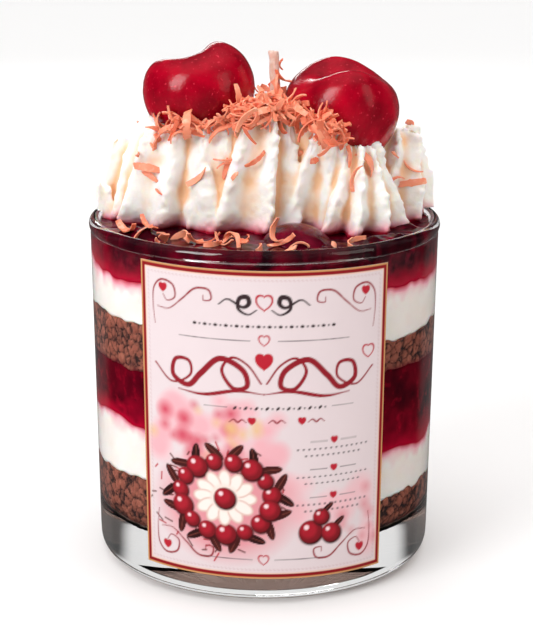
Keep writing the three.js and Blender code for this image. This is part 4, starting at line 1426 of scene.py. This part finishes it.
# Painted light: the floor is darker near the candle and paler further off, evening out the soft boxes,
# which light the floor near the candle more.
near_floor = floor_finish.mix(floor_finish.speckle(60), (0.835, 0.83, 0.83, 1), (0.855, 0.85, 0.85, 1))
floor_finish.base(floor_finish.cover(
    near_floor, (0.94, 0.94, 0.94, 1), away.outputs["Value"], 0.1, 0.9))
floor_finish.on(floor)
floor.visible_glossy = False  # glossy pieces don't mirror the pale floor

middle = (0, 0, 0.055)
add_soft_box("main_soft_box", (-0.42, -0.42, 0.42), middle, 0.3, 0.3, 2.6)
add_soft_box("fill_soft_box", (0.5, -0.3, 0.3), middle, 0.3, 0.4, 0.5, tint=(1, 0.9, 0.82))
add_soft_box("rear_soft_box", (-0.12, 0.9, 0.34), (0, 0, 0.08), 0.3, 0.06, 0.5)

# %% [markdown]
# The sky is bright overhead and behind the candle and dim in front of it. One map of directions
# would serve, but then the wet jelly and the rim would mirror the bright sky and turn white. So
# the sky is worked out from the direction, and is dimmer for rays that a glossy surface reflects.

# %% The sky
world = bpy.data.worlds.new("bright_room")
bpy.context.scene.world = world
world.use_nodes = True
sky = world.node_tree
split = sky.nodes.new("ShaderNodeSeparateXYZ")
sky.links.new(sky.nodes.new("ShaderNodeTexCoord").outputs["Generated"], split.inputs["Vector"])


def ramp(value, low, high, to_low, to_high):
    """A smooth step of a direction's part, from to_low to to_high."""
    step = sky.nodes.new("ShaderNodeMapRange")
    step.interpolation_type = "SMOOTHSTEP"
    for socket, number in zip(RANGE_SOCKETS, (low, high, to_low, to_high)):
        step.inputs[socket].default_value = number
    sky.links.new(value, step.inputs["Value"])
    return step.outputs["Result"]


def combine(how, first, second):
    """A sum, product or maximum of two values; a value is a socket or a plain number."""
    step = sky.nodes.new("ShaderNodeMath")
    step.operation = how
    for socket, value in zip(step.inputs, (first, second)):
        if isinstance(value, (int, float)):
            socket.default_value = value
        else:
            sky.links.new(value, socket)
    return step.outputs["Value"]


light_kind = sky.nodes.new("ShaderNodeLightPath")
in_reflections = combine(
    "MULTIPLY", light_kind.outputs["Is Glossy Ray"], light_kind.outputs["Is Reflection Ray"])
high_cut = combine("MULTIPLY", in_reflections, ramp(split.outputs["Z"], 0.0, 0.14, 0.85, 0.95))
behind = combine(
    "MULTIPLY", ramp(split.outputs["Y"], 0.55, 0.7, 0.1, 0.85), combine("SUBTRACT", 1.0, high_cut))
above = combine("MULTIPLY", ramp(split.outputs["Z"], 0.6, 0.9, 0.0, 2.5),
                combine("SUBTRACT", 1.0, combine("MULTIPLY", in_reflections, 0.92)))
brightness = combine("MAXIMUM", behind, above)
sky.nodes["Background"].inputs["Color"].default_value = (1.0, 0.99, 0.985, 1)
sky.links.new(brightness, sky.nodes["Background"].inputs["Strength"])

# %% [markdown]
# The camera looks down a little, from about 39 cm away. Its height, tilt and lens were found from
# the ellipses of the rim and foot: the rim's ellipse is flatter than the foot's, and how much
# flatter gives the distance.

# %% The camera
CAMERA_DISTANCE = 0.3868
CAMERA_HEIGHT = 0.1601
CAMERA_TILT = 0.267
CAMERA_ROLL = -0.003
PICTURE_HEIGHT = 641
FOCAL_IN_PIXELS = 1711.2
camera_data = bpy.data.cameras.new("camera")
camera_data.sensor_width = 36
camera_data.lens = FOCAL_IN_PIXELS / PICTURE_HEIGHT * camera_data.sensor_width
camera_data.shift_x = 0.0015
camera = bpy.data.objects.new("camera", camera_data)
bpy.context.scene.collection.objects.link(camera)
camera.location = (0, -CAMERA_DISTANCE, CAMERA_HEIGHT)
camera.rotation_euler = (math.pi / 2 - CAMERA_TILT, CAMERA_ROLL, 0)
bpy.context.scene.camera = camera
bpy.context.scene.view_settings.view_transform = "Standard"
bpy.context.scene.view_settings.look = "None"
